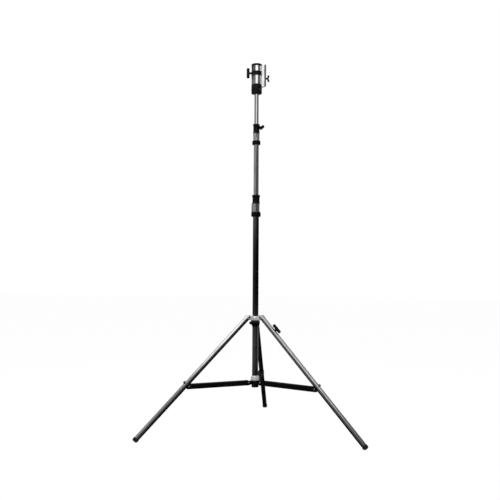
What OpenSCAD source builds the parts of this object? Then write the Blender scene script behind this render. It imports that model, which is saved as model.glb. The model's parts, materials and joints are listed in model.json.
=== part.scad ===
// Combo stand for lighting and camera grip: a three-section column on a folding tripod base with
// horizontal braces, one levelling leg and a head that receives 28.6 mm and 16 mm spigots.
// Millimetres. The origin is on the column's axis at floor level, +Z up.
// The rear leg lies along +Y, the left leg at 210 degrees and the right leg at 330 degrees.

/* [Column] */
// Outer diameter of the base tube
base_tube_d = 35; // [32:0.5:40]
// Wall of the base tube
base_tube_wall = 1.6; // [1.2:0.1:2]
// Outer diameter of riser 1
riser_1_d = 30; // [28:0.5:31]
// Outer diameter of riser 2
riser_2_d = 25; // [22:0.5:26]
// Wall of both risers
riser_wall = 1.5; // [1:0.1:2]
// Height of the base tube's lower end
base_tube_bottom = 252; // [245:1:255]
// Height of the underside of the ring at the top of the base tube
base_ring_z = 1238; // [1190:2:1300]
// Height of the underside of the ring at the top of riser 1
riser_1_ring_z = 1662; // [1650:1:1700]
// Height of the underside of the head
head_z = 1966; // [1945:1:2050]
// Height of the lower end of riser 1
riser_1_end_z = 595; // [575:5:645]
// Height of the lower end of riser 2
riser_2_end_z = 875; // [855:5:925]
// Length of the flange of each guide bush
guide_length = 25; // [20:1:35]
// Length of the spigot of each guide bush inside its riser
guide_spigot = 20; // [15:1:30]
// Wall of both guide bushes
guide_wall = 3; // [2:0.5:4]
// Distance of riser 2's upper end below the head's chrome body
riser_2_inset = 6; // [2:1:10]

/* [Base collar] */
// Height of the black ring
base_ring_h = 28; // [22:1:32]
// Outer diameter of the black ring
base_ring_d = 55.5; // [52:0.5:60]
// Height of the bright sleeve
base_sleeve_h = 48; // [40:1:56]
// Outer diameter of the bright sleeve
base_sleeve_d = 41; // [40:0.5:44]
// Height of the black clamp collar
base_clamp_h = 51; // [46:1:58]
// Outer diameter at the lips of the clamp collar
base_clamp_lip_d = 46.5; // [45:0.5:52]
// Outer diameter at the waist of the clamp collar
base_clamp_waist_d = 41.5; // [40:0.5:44]
// Direction of the lock handle
base_lock_angle = 108; // [0:1:359]
// Height of the lock screw above the clamp collar's underside
base_lock_h = 18; // [14:1:24]
// Distance of the handle's bar from the column's axis
base_lock_reach = 36; // [34:1:50]
// Reach of the cast rib on the sleeve from the column's axis
sleeve_rib_reach = 26.5; // [24:0.5:30]
// Width of the cast rib
sleeve_rib_w = 8; // [6:1:12]
// Direction of the cast rib
sleeve_rib_angle = 186; // [150:1:220]

/* [Riser collar] */
// Height of the black ring
riser_ring_h = 24; // [18:1:28]
// Outer diameter of the black ring
riser_ring_d = 48.5; // [45:0.5:54]
// Height of the bright sleeve
riser_sleeve_h = 43; // [36:1:50]
// Outer diameter of the bright sleeve
riser_sleeve_d = 37; // [36:0.5:40]
// Height of the black clamp collar
riser_clamp_h = 55; // [50:1:60]
// Outer diameter at the lips of the clamp collar
riser_clamp_lip_d = 40; // [39:0.5:44]
// Outer diameter at the waist of the clamp collar
riser_clamp_waist_d = 36.5; // [35:0.5:38]
// Direction of the lock handle
riser_lock_angle = 19; // [0:1:359]
// Height of the lock screw above the clamp collar's underside
riser_lock_h = 38.5; // [30:0.5:40]
// Distance of the handle's bar from the column's axis
riser_lock_reach = 33.5; // [32:0.5:50]
// Width of the slit in both bright sleeves
slit_w = 5; // [3:0.5:6]
// Direction of the slit in the base sleeve
base_slit_angle = 284; // [270:1:310]
// Direction of the slit in the riser sleeve
riser_slit_angle = 281; // [270:1:310]

/* [Head] */
// Outer diameter of the chrome body
head_body_d = 60.4; // [58:0.2:64]
// Outer diameter of the black ring, band and socket
head_trim_d = 62.6; // [61:0.2:70]
// Height of the black socket
socket_h = 54; // [46:1:60]
// Rounding of the socket's lower edge
socket_soft = 4; // [2:0.5:8]
// Width of the socket's rounded shoulder
shoulder_w = 6; // [3:0.5:8]
// Height of the socket's rounded shoulder
shoulder_h = 8; // [4:0.5:12]
// Height of the chrome body above the socket
body_h = 108; // [104:1:130]
// Height of the black top ring
top_ring_h = 13; // [8:1:18]
// Height of the clamp band
band_h = 27; // [24:1:34]
// Height of the clamp band's centre above the head's underside
band_centre_h = 118; // [110:1:124]
// Thickness of the clamp band
band_wall = 3.2; // [2:0.1:5]
// Height of the lock screw's boss above the clamp band
band_boss_h = 2; // [1:0.5:4]
// Bore of the junior receiver for a 28.6 mm spigot
junior_bore_d = 29; // [28.8:0.1:29.4]
// Outer diameter of the junior receiver's steel sleeve
junior_sleeve_d = 37; // [34:0.5:42]
// Depth of the junior receiver
junior_depth = 108; // [90:1:109]
// Direction of the side block; the head's T-handle is on the opposite side
head_turn = 6; // [0:1:30]
// Height of the head's lock screw above its underside
head_lock_h = 123; // [112:1:130]
// Distance of the head handle's bar from the head's axis
head_lock_reach = 51; // [48:1:60]
// Tilt of the head handle's bar from the vertical
head_lock_roll = 5; // [0:1:30]
// Direction of the first set screw in the socket
set_screw_angle = 308; // [280:1:330]
// Height of the set screws above the head's underside
set_screw_h = 20; // [14:1:30]
// Diameter of the set screws
set_screw_d = 6; // [5:0.5:8]
// Bore of the baby receiver for a 16 mm spigot
baby_bore_d = 16.2; // [16.1:0.1:16.4]
// Distance of the baby receiver from the head's axis
baby_offset = 42; // [42:0.5:46]
// Distance of the side block's outer face from the baby receiver's axis
baby_pad_wall = 13.2; // [12.8:0.1:16]
// Width of the side block
block_w = 25; // [23:0.5:32]
// Height of the side block
block_h = 132; // [100:1:134]
// Height of the side block's underside above the head's underside
block_rise = 39; // [38:1:60]
// Radial size of the chamfer under the side block
block_chamfer_x = 20; // [10:1:24]
// Height of the chamfer under the side block
block_chamfer_z = 10; // [6:1:14]
// Depth of the baby receiver
baby_depth = 100; // [60:1:112]
// Height of the wing screw above the head's underside
wing_h = 91; // [80:1:110]
// Span of the wing screw's two wings
wing_span = 39; // [30:1:44]
// Thickness of the wings
wing_t = 4; // [3:0.5:6]
// Distance of the wings' root from the side block's face
wing_stand = 6; // [5:0.5:8]

/* [Lock screws] */
// Diameter of the T-handle's bar
bar_d = 17.5; // [16:0.5:18]
// Length of the T-handle's bar
bar_l = 61; // [54:1:64]
// Diameter of the T-handle's neck
neck_d = 12; // [11:0.5:14]
// Diameter of the lock screws
screw_d = 8; // [6:0.5:8]
// Diameter of the lock pads
pad_d = 10; // [9:0.5:11]
// Length of the lock pads
pad_l = 2; // [1.5:0.5:2.5]
// Room for a lock pad behind it
pad_travel = 2; // [1.9:0.1:2.2]
// Width of the boss round a lock screw, past its neck
boss_margin = 2; // [1:0.5:3]

/* [Leg collar] */
// Height of the collar's lower end
leg_collar_z = 599; // [590:1:605]
// Height of the black sleeve
collar_sleeve_h = 36; // [34:1:40]
// Outer diameter of the black sleeve
collar_sleeve_d = 50; // [48:0.5:54]
// Outer diameter of the black sleeve's lower neck
collar_neck_d = 42; // [40:0.5:46]
// Height of the lower neck
collar_neck_h = 7; // [4:1:10]
// Height of the bright domed casting
casting_h = 24; // [20:1:30]
// Outer diameter of the casting at its foot
casting_d = 57; // [55:0.5:60]
// Outer diameter of the casting at its top
casting_top_d = 41; // [40:0.5:46]
// Height of the lock screw above the collar's lower end
collar_lock_h = 23; // [21:1:26]
// Distance of the handle's bar from the column's axis
collar_lock_reach = 46; // [44:1:60]
// Thickness of the ears
ear_wall = 3.5; // [3:0.5:5]
// Radius of the ears' round ends
ear_r = 9.5; // [8:0.5:11]

/* [Legs] */
// Outer diameter of the legs
leg_d = 28.5; // [27:0.5:30]
// Wall of the leg tubes
leg_wall = 1.5; // [1:0.1:2]
// Distance of the leg pivots from the column's axis
leg_pivot_r = 47; // [46:0.5:50]
// Height of the leg pivots
leg_pivot_z = 652; // [648:1:655]
// Distance of the feet from the column's axis
foot_r = 699; // [645:1:745]
// Height of the leg axis at the foot
foot_z = 12; // [10:1:16]
// Outer diameter of the foot caps
foot_cap_d = 31.5; // [31:0.5:36]
// Length of a foot cap on its tube
foot_cap_l = 7; // [6:1:30]
// Thickness of a foot cap past the tube's end
foot_cap_end = 13; // [12:1:18]
// Rounding of the foot caps' ends
foot_soft = 8; // [4:0.5:10]
// Distance that the leg tubes stop short of the foot
leg_tube_short = 1; // [0:0.5:3]
// Diameter of the leg pivot bolts
pivot_d = 8; // [6:0.5:10]
// Diameter of the pivot bolts' heads
pivot_head_d = 12.8; // [11:0.1:14]
// Height of the pivot bolts' heads
pivot_head_h = 3; // [2:0.5:4]
// Diameter of the raised button on each head
pivot_button_d = 9.6; // [7:0.1:10]
// Height of the raised button
pivot_button_h = 1.5; // [0.5:0.5:2]
// Distance of the levelling lock from the leg pivot
levelling_lock_t = 115; // [100:1:150]
// Distance of the levelling handle's bar from the leg's axis
levelling_reach = 29.5; // [29:0.5:45]
// Height of the welded boss above the leg's surface
boss_h = 4; // [3:0.5:5]
// Travel of the levelling leg
levelling_travel = 250; // [150:10:300]
// Distance of the levelling tube's upper end from the leg pivot
levelling_top_t = 60; // [40:5:90]
// Length of the levelling tube that shows above its foot cap
levelling_show = 4; // [2:1:20]

/* [Braces] */
// Height of the braces' pivots
brace_z = 277; // [273:1:281]
// Distance of the braces' inner pivots from the column's axis
brace_pivot_r = 45; // [43:0.5:50]
// Distance of the braces' outer pivots from the leg's axis
bracket_offset = 17; // [17:0.1:20]
// Reach of a brace's round end past its outer pivot, before the rounding
brace_nose = 8; // [0:1:10]
// Height of the U-channel
brace_h = 26; // [24:0.5:30]
// Thickness of the U-channel's walls
brace_wall = 1.8; // [1.2:0.1:2.4]
// Distance of the channel's top from the inner pivot
web_start = 22; // [20:1:30]
// Distance of the channel's top from the outer pivot
web_end = 15; // [14.5:0.5:24]
// Diameter of the brace rivets
rivet_d = 5.4; // [5:0.1:5.4]
// Diameter of the brace rivets' heads
rivet_head_d = 12; // [10:0.5:14]
// Height of the brace rivets' heads
rivet_head_h = 2.5; // [1.5:0.5:4]
// Diameter of the bracket bolts
bracket_bolt_d = 8; // [6:0.5:8]
// Width across the corners of the bolts' nuts
nut_d = 15; // [13:0.5:16]
// Height of the nuts with their washers
nut_h = 7; // [5:0.5:8]
// Diameter of the washers
washer_d = 17; // [16.5:0.5:20]
// Thickness of the washers
washer_h = 1.5; // [1:0.5:2]
// Length of the bolts past their nuts
bolt_tip = 1; // [0.5:0.5:3]
// Length of a bracket along its leg
bracket_l = 34; // [30:1:40]
// Radius of the tabs' and brackets' round ends
tab_r = 9; // [8:0.5:10]

/* [Hub] */
// Height of the black hub
hub_h = 25; // [22:1:28]
// Outer diameter of the black hub
hub_d = 51; // [46:0.5:56]
// Height of the bright dome above the hub
dome_h = 27; // [20:1:32]
// Outer diameter of the dome at its foot
dome_d = 49; // [44:0.5:50]
// Outer diameter of the bottom cap
cap_d = 41; // [39:0.5:46]
// Height of the bottom cap below the lock ring
cap_h = 13; // [10:1:16]
// Thickness of the lock ring
lock_ring_h = 2; // [1:0.5:3]

/* [Clearances] */
// Radial clearance of a tube that slides or a pin that turns
fit_gap = 0.1; // [0.05:0.01:0.1]
// Clearance between moving flat sides
side_gap = 0.4; // [0.3:0.05:0.6]
// Gap between a slack lock pad and what it grips
pad_gap = 0.2; // [0.1:0.05:0.3]
// Gap between a lock pad and the end of its screw
seat_gap = 0.05; // [0.02:0.01:0.1]

/* [Hidden] */
$fn = 64;
eps = 0.01;
far = 1000;

base_r = base_tube_d / 2;
base_bore_r = base_r - base_tube_wall;
riser_1_r = riser_1_d / 2;
riser_1_bore_r = riser_1_r - riser_wall;
riser_2_r = riser_2_d / 2;
riser_2_bore_r = riser_2_r - riser_wall;
leg_r = leg_d / 2;
leg_bore_r = leg_r - leg_wall;
levelling_r = leg_bore_r - fit_gap;
levelling_bore_r = levelling_r - leg_wall;

base_sleeve_z = base_ring_z + base_ring_h;
base_clamp_z = base_sleeve_z + base_sleeve_h;
base_tube_top = base_sleeve_z + base_sleeve_h * 0.65;
base_lock_z = base_clamp_z + base_lock_h;
riser_sleeve_z = riser_1_ring_z + riser_ring_h;
riser_clamp_z = riser_sleeve_z + riser_sleeve_h;
riser_1_top = riser_sleeve_z + riser_sleeve_h * 0.5;
riser_lock_z = riser_clamp_z + riser_lock_h;

body_z = head_z + socket_h;
top_ring_z = body_z + body_h;
head_top = top_ring_z + top_ring_h;
band_z = head_z + band_centre_h - band_h / 2;
head_lock_z = head_z + head_lock_h;
junior_floor = head_top - junior_depth;
riser_2_top = body_z - riser_2_inset;
head_trim_r = head_trim_d / 2;
head_body_r = head_body_d / 2;
block_reach = baby_offset + baby_pad_wall;

casting_z = leg_collar_z + collar_sleeve_h;
collar_lock_z = leg_collar_z + collar_lock_h;

leg_angles = [90, 210, 330];
rear = leg_angles[0];
left = leg_angles[1];
right = leg_angles[2];
leg_tilt = atan2(foot_r - leg_pivot_r, leg_pivot_z - foot_z);
leg_l = norm([foot_r - leg_pivot_r, leg_pivot_z - foot_z]);
leg_tube_end = leg_l - leg_tube_short;
// distance along the leg of the brace's outer pivot, which lies level with the inner one
bracket_t = (leg_pivot_z - brace_z - bracket_offset * sin(leg_tilt)) / cos(leg_tilt);
brace_l = leg_pivot_r + bracket_t * sin(leg_tilt) - bracket_offset * cos(leg_tilt) - brace_pivot_r;
channel_half = leg_r + side_gap;
ear_inner = leg_r + side_gap;
tab_half = channel_half - side_gap;
closed_end = 20;
boss_r = neck_d / 2 + boss_margin;

hub_z = brace_z - hub_h / 2;
dome_z = hub_z + hub_h;
lock_ring_z = hub_z - lock_ring_h;
cap_z = lock_ring_z - cap_h;

// Frames

// +X points away from the column at this angle and height
module out_from_column(angle, z) {
    rotate([0, 0, angle]) translate([0, 0, z]) children();
}

// +Z runs down the leg from its pivot and +X points inwards, to the brace
module along_leg(angle) {
    rotate([0, 0, angle])
        translate([leg_pivot_r, 0, leg_pivot_z])
            rotate([0, 180 - leg_tilt, 0])
                children();
}

// the levelling lock's frame: +X points away from the leg, on its outer side
module at_levelling_lock() {
    along_leg(right) translate([0, 0, levelling_lock_t]) rotate([0, 0, 180]) children();
}

// +X runs out along the brace from its inner pivot
module along_brace(angle) {
    rotate([0, 0, angle]) translate([brace_pivot_r, 0, brace_z]) children();
}

// Plain shapes

module tube(outer_r, inner_r, z0, z1) {
    translate([0, 0, z0])
        difference() {
            cylinder(r = outer_r, h = z1 - z0);
            translate([0, 0, -1]) cylinder(r = inner_r, h = z1 - z0 + 2);
        }
}

// a rod along X from x0 to x1
module rod_x(r, x0, x1) {
    translate([x0, 0, 0]) rotate([0, 90, 0]) cylinder(r = r, h = x1 - x0);
}

// a rod along Y from y0 to y1
module rod_y(r, y0, y1) {
    translate([0, y0, 0]) rotate([-90, 0, 0]) cylinder(r = r, h = y1 - y0);
}

// a ring with both outer edges rounded
module soft_ring(outer_r, inner_r, z0, h, soft) {
    translate([0, 0, z0])
        rotate_extrude()
            polygon([
                [inner_r, 0],
                for (a = [0:15:90])
                    [outer_r - soft + soft * sin(a), soft - soft * cos(a)],
                for (a = [0:15:90])
                    [outer_r - soft + soft * cos(a), h - soft + soft * sin(a)],
                [inner_r, h]
            ]);
}

// a collar with two lips and a waist between them
module waisted_collar(lip_r, waist_r, inner_r, z0, h) {
    lip = h * 0.2;
    translate([0, 0, z0])
        rotate_extrude()
            polygon([
                [inner_r, 0], [lip_r - 1, 0], [lip_r - 0.5, 1], [lip_r - 0.5, lip * 0.5],
                [waist_r, lip], [waist_r, h - lip * 1.5], [lip_r, h - lip],
                [lip_r, h - 2], [lip_r - 2, h], [inner_r, h]
            ]);
}

// Clamp screws. Each is drawn with +X outwards from the axis of what it grips.

// the hole for pad and screw through the wall between inner_r and outer_r
module lock_hole(grip_r, outer_r) {
    pad_back = grip_r + pad_gap + pad_l + pad_travel;
    rod_x(pad_d / 2 + fit_gap, grip_r - 1, pad_back);
    rod_x(screw_d / 2 + fit_gap, grip_r, outer_r + 20);
}

module lock_pad(grip_r) {
    color("goldenrod")
        rod_x(pad_d / 2, grip_r + pad_gap, grip_r + pad_gap + pad_l);
}

module lock_screw(grip_r, reach) {
    color("silver")
        rod_x(screw_d / 2, grip_r + pad_gap + pad_l + seat_gap, reach);
}

// T-handle with its neck and a bar across the screw, turned by roll about the screw
module lock_handle(wall_r, reach, roll = 0) {
    neck_start = min(wall_r + 1, reach - bar_d / 2);
    color("#161616")
        rotate([roll, 0, 0])
            difference() {
                union() {
                    rod_x(neck_d / 2, neck_start, reach);
                    translate([reach, 0, 0]) {
                        cylinder(d = bar_d, h = bar_l - bar_d, center = true);
                        for (side = [-1, 1])
                            translate([0, 0, side * (bar_l - bar_d) / 2]) sphere(d = bar_d);
                    }
                }
                rod_x(screw_d / 2, 0, reach);
            }
}

// Column, fixed part

module base_tube() {
    color("#6e6e6e")
        tube(base_r, base_bore_r, base_tube_bottom, base_tube_top);
}

module base_bottom_cap() {
    color("#161616") {
        difference() {
            soft_ring(cap_d / 2, 0, cap_z, cap_h, 1.5);
            translate([0, 0, base_tube_bottom]) cylinder(r = base_r, h = far);
        }
        translate([0, 0, base_tube_bottom]) cylinder(r = base_bore_r, h = 4);
    }
}

module hub_lock_ring() {
    color("silver") tube(cap_d / 2 - 0.5, base_r, lock_ring_z, lock_ring_z + lock_ring_h);
}

module brace_hub() {
    color("#1c1c1c")
        difference() {
            union() {
                soft_ring(hub_d / 2, base_r, hub_z, hub_h, 2);
                for (angle = leg_angles)
                    along_brace(angle) {
                        rod_y(tab_r, -tab_half, tab_half);
                        translate([-brace_pivot_r + base_r + 1, -tab_half, -tab_r])
                            cube([brace_pivot_r - base_r - 1, 2 * tab_half, 2 * tab_r]);
                    }
            }
            translate([0, 0, hub_z - 1]) cylinder(r = base_r, h = hub_h + 2);
            for (angle = leg_angles) along_brace(angle) rod_y(rivet_d / 2, -far, far);
        }
}

module hub_dome() {
    foot = dome_d / 2;
    top = base_r + 2;
    color("gainsboro")
        translate([0, 0, dome_z])
            rotate_extrude()
                polygon([
                    [base_r, 0], [foot - 1, 0], [foot, 1.5], [foot, dome_h * 0.3],
                    for (a = [10:5:90])
                        [top + (foot - top) * cos(a), dome_h * (0.3 + 0.7 * sin(a))],
                    [base_r, dome_h]
                ]);
}

// a rivet along Y through a channel's two walls, with a domed head outside each
module cross_rivet() {
    seat = channel_half + brace_wall + side_gap / 2;
    rod_y(rivet_d / 2, -seat - eps, seat + eps);
    for (side = [-1, 1])
        translate([0, side * seat, 0])
            rotate([-90 * side, 0, 0])
                rotate_extrude()
                    polygon([
                        [0, 0], [rivet_head_d / 2, 0],
                        for (a = [10:10:90])
                            [rivet_head_d / 2 * cos(a), rivet_head_h * sin(a)]
                    ]);
}

module hub_rivets() {
    color("silver")
        for (angle = leg_angles) along_brace(angle) cross_rivet();
}

module base_collar_ring() {
    color("#161616") soft_ring(base_ring_d / 2, base_r, base_ring_z, base_ring_h, 4);
}

module split_sleeve(outer_r, seat_r, seat_top, guide_r, z0, h, slit_angle) {
    difference() {
        translate([0, 0, z0]) cylinder(r = outer_r, h = h);
        translate([0, 0, z0 - 1]) cylinder(r = seat_r, h = seat_top - z0 + 1);
        translate([0, 0, z0 - 1]) cylinder(r = guide_r, h = h + 2);
        rotate([0, 0, slit_angle])
            translate([guide_r, -slit_w / 2, z0 + 3]) cube([outer_r, slit_w, h]);
    }
}

module base_collar_sleeve() {
    outer = base_sleeve_d / 2;
    color("gainsboro") {
        split_sleeve(outer, base_r, base_tube_top, riser_1_r + fit_gap,
            base_sleeve_z, base_sleeve_h, base_slit_angle);
        difference() {
            rotate([0, 0, sleeve_rib_angle])
                translate([0, -sleeve_rib_w / 2, base_sleeve_z])
                    cube([sleeve_rib_reach, sleeve_rib_w, base_sleeve_h]);
            translate([0, 0, base_sleeve_z - 1]) cylinder(r = outer, h = base_sleeve_h + 2);
        }
    }
}

module base_clamp_collar() {
    lip = base_clamp_lip_d / 2;
    bore = riser_1_r + fit_gap;
    color("#161616")
        difference() {
            union() {
                waisted_collar(lip, base_clamp_waist_d / 2, bore, base_clamp_z, base_clamp_h);
                out_from_column(base_lock_angle, base_lock_z) rod_x(boss_r, 0, lip);
            }
            translate([0, 0, base_clamp_z - 1]) cylinder(r = bore, h = base_clamp_h + 2);
            out_from_column(base_lock_angle, base_lock_z) lock_hole(riser_1_r, lip);
        }
}

module base_lock_pad() {
    out_from_column(base_lock_angle, base_lock_z) lock_pad(riser_1_r);
}

module base_lock_screw() {
    out_from_column(base_lock_angle, base_lock_z) lock_screw(riser_1_r, base_lock_reach);
}

module base_lock_handle() {
    out_from_column(base_lock_angle, base_lock_z)
        lock_handle(base_clamp_lip_d / 2, base_lock_reach);
}

// Riser 1

// a bush whose flange runs in the outer tube and whose spigot carries the riser
module guide_bush(flange_r, spigot_r, end_z) {
    color("#d8d4c8") {
        translate([0, 0, end_z - guide_length])
            difference() {
                cylinder(r = flange_r, h = guide_length - fit_gap);
                translate([0, 0, -1]) cylinder(r = spigot_r - guide_wall, h = guide_length + 2);
            }
        translate([0, 0, end_z - fit_gap - eps])
            difference() {
                cylinder(r = spigot_r, h = guide_spigot);
                translate([0, 0, -1]) cylinder(r = spigot_r - guide_wall, h = guide_spigot + 2);
            }
    }
}

module riser_1_guide() {
    guide_bush(base_bore_r - fit_gap, riser_1_bore_r - fit_gap, riser_1_end_z);
}

module riser_1_tube() {
    color("#9a9a9a") tube(riser_1_r, riser_1_bore_r, riser_1_end_z, riser_1_top);
}

module riser_1_collar_ring() {
    color("#161616") soft_ring(riser_ring_d / 2, riser_1_r, riser_1_ring_z, riser_ring_h, 4);
}

module riser_1_collar_sleeve() {
    color("gainsboro")
        split_sleeve(riser_sleeve_d / 2, riser_1_r, riser_1_top, riser_2_r + fit_gap,
            riser_sleeve_z, riser_sleeve_h, riser_slit_angle);
}

module riser_1_clamp_collar() {
    lip = riser_clamp_lip_d / 2;
    bore = riser_2_r + fit_gap;
    color("#161616")
        difference() {
            union() {
                waisted_collar(lip, riser_clamp_waist_d / 2, bore, riser_clamp_z,
                    riser_clamp_h);
                out_from_column(riser_lock_angle, riser_lock_z) rod_x(boss_r, 0, lip);
            }
            translate([0, 0, riser_clamp_z - 1]) cylinder(r = bore, h = riser_clamp_h + 2);
            out_from_column(riser_lock_angle, riser_lock_z) lock_hole(riser_2_r, lip);
        }
}

module riser_1_lock_pad() {
    out_from_column(riser_lock_angle, riser_lock_z) lock_pad(riser_2_r);
}

module riser_1_lock_screw() {
    out_from_column(riser_lock_angle, riser_lock_z) lock_screw(riser_2_r, riser_lock_reach);
}

module riser_1_lock_handle() {
    out_from_column(riser_lock_angle, riser_lock_z)
        lock_handle(riser_clamp_lip_d / 2, riser_lock_reach, 90);
}

// Riser 2 and head

module riser_2_guide() {
    guide_bush(riser_1_bore_r - fit_gap, riser_2_bore_r - fit_gap, riser_2_end_z);
}

module riser_2_tube() {
    color("silver")
        difference() {
            tube(riser_2_r, riser_2_bore_r, riser_2_end_z, riser_2_top);
            for (side = [0, 180])
                out_from_column(set_screw_angle + side, head_z + set_screw_h)
                    rod_x(set_screw_d / 2, 0, far);
        }
}

module head_socket() {
    spigot_r = junior_sleeve_d / 2;
    color("#161616")
        difference() {
            translate([0, 0, head_z])
                rotate_extrude()
                    polygon([
                        [riser_2_r, 0],
                        for (a = [0:15:90])
                            [head_trim_r - socket_soft * (1 - sin(a)), socket_soft * (1 - cos(a))],
                        for (a = [0:7.5:90])
                            [head_trim_r - shoulder_w * (1 - cos(a)),
                                    socket_h - shoulder_h * (1 - sin(a))],
                        [spigot_r, socket_h], [spigot_r, junior_floor - head_z],
                        [0, junior_floor - head_z], [0, riser_2_top - head_z],
                        [riser_2_r, riser_2_top - head_z]
                    ]);
            for (side = [0, 180])
                out_from_column(set_screw_angle + side, head_z + set_screw_h)
                    rod_x(set_screw_d / 2, 0, far);
        }
}

module head_set_screws() {
    color("silver")
        for (side = [0, 180])
            out_from_column(set_screw_angle + side, head_z + set_screw_h)
                difference() {
                    rod_x(set_screw_d / 2, riser_2_bore_r, head_trim_r + 0.8);
                    rod_x(set_screw_d / 4, head_trim_r - 3, far);
                }
}

module head_body() {
    groove_r = head_trim_r - band_wall;
    bore = junior_sleeve_d / 2;
    color("gainsboro")
        difference() {
            translate([0, 0, body_z])
                rotate_extrude()
                    polygon([
                        [bore, 0], [head_body_r, 0], [head_body_r, band_z - body_z],
                        [groove_r, band_z - body_z], [groove_r, band_z - body_z + band_h],
                        [head_body_r, band_z - body_z + band_h], [head_body_r, body_h],
                        [bore, body_h]
                    ]);
            head_lock_frame() lock_hole(junior_bore_d / 2, head_trim_r);
        }
}

module head_top_ring() {
    bore = junior_sleeve_d / 2;
    color("#161616") soft_ring(head_trim_r, bore, top_ring_z, top_ring_h, 2);
}

module head_clamp_band() {
    groove_r = head_trim_r - band_wall;
    boss_reach = head_trim_r + band_boss_h;
    color("#161616")
        difference() {
            union() {
                soft_ring(head_trim_r, groove_r, band_z, band_h, 1);
                head_lock_frame() rod_x(boss_r, groove_r, boss_reach);
            }
            translate([0, 0, band_z - 1]) cylinder(r = groove_r, h = band_h + 2);
            head_lock_frame() lock_hole(junior_bore_d / 2, boss_reach);
        }
}

module junior_sleeve() {
    color("#8c8c8c")
        difference() {
            tube(junior_sleeve_d / 2, junior_bore_d / 2, junior_floor, head_top);
            head_lock_frame() lock_hole(junior_bore_d / 2, head_trim_r);
        }
}

module head_lock_frame() {
    out_from_column(head_turn + 180, head_lock_z) children();
}

module head_lock_pad() {
    head_lock_frame() lock_pad(junior_bore_d / 2);
}

module head_lock_screw() {
    head_lock_frame() lock_screw(junior_bore_d / 2, head_lock_reach);
}

module head_lock_handle() {
    head_lock_frame() lock_handle(head_trim_r + band_boss_h, head_lock_reach, head_lock_roll);
}

// the wing screw's frame: +X outwards from the baby receiver's axis
module at_baby_lock() {
    rotate([0, 0, head_turn]) translate([baby_offset, 0, head_z + wing_h]) children();
}

module baby_block() {
    block_z = head_z + block_rise;
    block_top = block_z + block_h;
    color("#e4e4e4")
        difference() {
            rotate([0, 0, head_turn])
                translate([0, block_w / 2, 0])
                    rotate([90, 0, 0])
                        linear_extrude(block_w)
                            polygon([
                                [head_body_r - 6, block_z],
                                [block_reach - block_chamfer_x, block_z],
                                [block_reach, block_z + block_chamfer_z],
                                [block_reach, block_top - 1],
                                [block_reach - 1, block_top],
                                [head_body_r - 6, block_top]
                            ]);
            // seated on the body, clear round the band, the ring and the socket
            translate([0, 0, block_z - 1]) cylinder(r = head_body_r, h = block_h + 2);
            translate([0, 0, head_z]) cylinder(r = head_trim_r, h = socket_h);
            tube(head_trim_r, head_body_r, band_z, band_z + band_h);
            translate([0, 0, top_ring_z]) cylinder(r = head_trim_r, h = top_ring_h + 1);
            rotate([0, 0, head_turn])
                translate([baby_offset, 0, block_top - baby_depth])
                    cylinder(d = baby_bore_d, h = baby_depth + 1);
            at_baby_lock() lock_hole(baby_bore_d / 2, baby_pad_wall);
        }
}

module baby_lock_pad() {
    at_baby_lock() lock_pad(baby_bore_d / 2);
}

module baby_wing_screw() {
    start = baby_bore_d / 2 + pad_gap + pad_l + seat_gap;
    root = baby_pad_wall + wing_stand;
    color("#161616")
        at_baby_lock() {
            rod_x(screw_d / 2, start, root + 4);
            rod_x(screw_d / 2 + 1.5, baby_pad_wall + 1, root + 4);
            for (side = [-1, 1])
                mirror([0, 0, side < 0 ? 1 : 0])
                    translate([root, wing_t / 2, 0])
                        rotate([90, 0, 0])
                            linear_extrude(wing_t)
                                polygon([
                                    [-3, 1], [4, 1], [10, wing_span / 2 - 7],
                                    [9.5, wing_span / 2 - 1.5], [6, wing_span / 2],
                                    [2.5, wing_span / 2 - 1.5], [1.5, wing_span / 2 - 8]
                                ]);
        }
}

// Leg collar

module leg_collar_casting() {
    foot = casting_d / 2;
    top = casting_top_d / 2;
    bore = base_r + fit_gap;
    color("gainsboro")
        difference() {
            union() {
                translate([0, 0, casting_z])
                    rotate_extrude()
                        polygon([
                            [bore, 0], [foot - 1, 0], [foot, 1], [foot, casting_h * 0.35],
                            for (a = [10:5:90])
                                [top + (foot - top) * cos(a),
                                    casting_h * (0.35 + 0.65 * sin(a))],
                            [bore, casting_h]
                        ]);
                for (angle = leg_angles)
                    rotate([0, 0, angle])
                        for (side = [-1, 1])
                            translate([0, side * (ear_inner + ear_wall / 2), 0]) ear();
            }
            translate([0, 0, casting_z - 1]) cylinder(r = bore, h = casting_h + 20);
            for (angle = leg_angles)
                rotate([0, 0, angle])
                    translate([leg_pivot_r, 0, leg_pivot_z]) rod_y(pivot_d / 2, -far, far);
        }
}

// one flat ear that reaches from the casting to the leg pivot
module ear() {
    translate([0, ear_wall / 2, 0])
        rotate([90, 0, 0])
            linear_extrude(ear_wall)
                union() {
                    translate([leg_pivot_r, leg_pivot_z]) circle(r = ear_r);
                    polygon([
                        [base_r - 4, casting_z], [casting_d / 2, casting_z],
                        [leg_pivot_r + ear_r * sin(35), leg_pivot_z - ear_r * cos(35)],
                        [leg_pivot_r - ear_r * sin(35), leg_pivot_z + ear_r * cos(35)],
                        [base_r - 4, casting_z + casting_h * 0.85]
                    ]);
                }
}

module leg_collar_sleeve() {
    outer = collar_sleeve_d / 2;
    neck = collar_neck_d / 2;
    color("#161616")
        difference() {
            translate([0, 0, leg_collar_z])
                rotate_extrude()
                    polygon([
                        [base_r + fit_gap, 0], [neck - 1, 0], [neck, 1],
                        [neck, collar_neck_h], [outer, collar_neck_h + 5],
                        [outer, collar_sleeve_h], [base_r + fit_gap, collar_sleeve_h]
                    ]);
            out_from_column(270, collar_lock_z) lock_hole(base_r, outer);
        }
}

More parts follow.
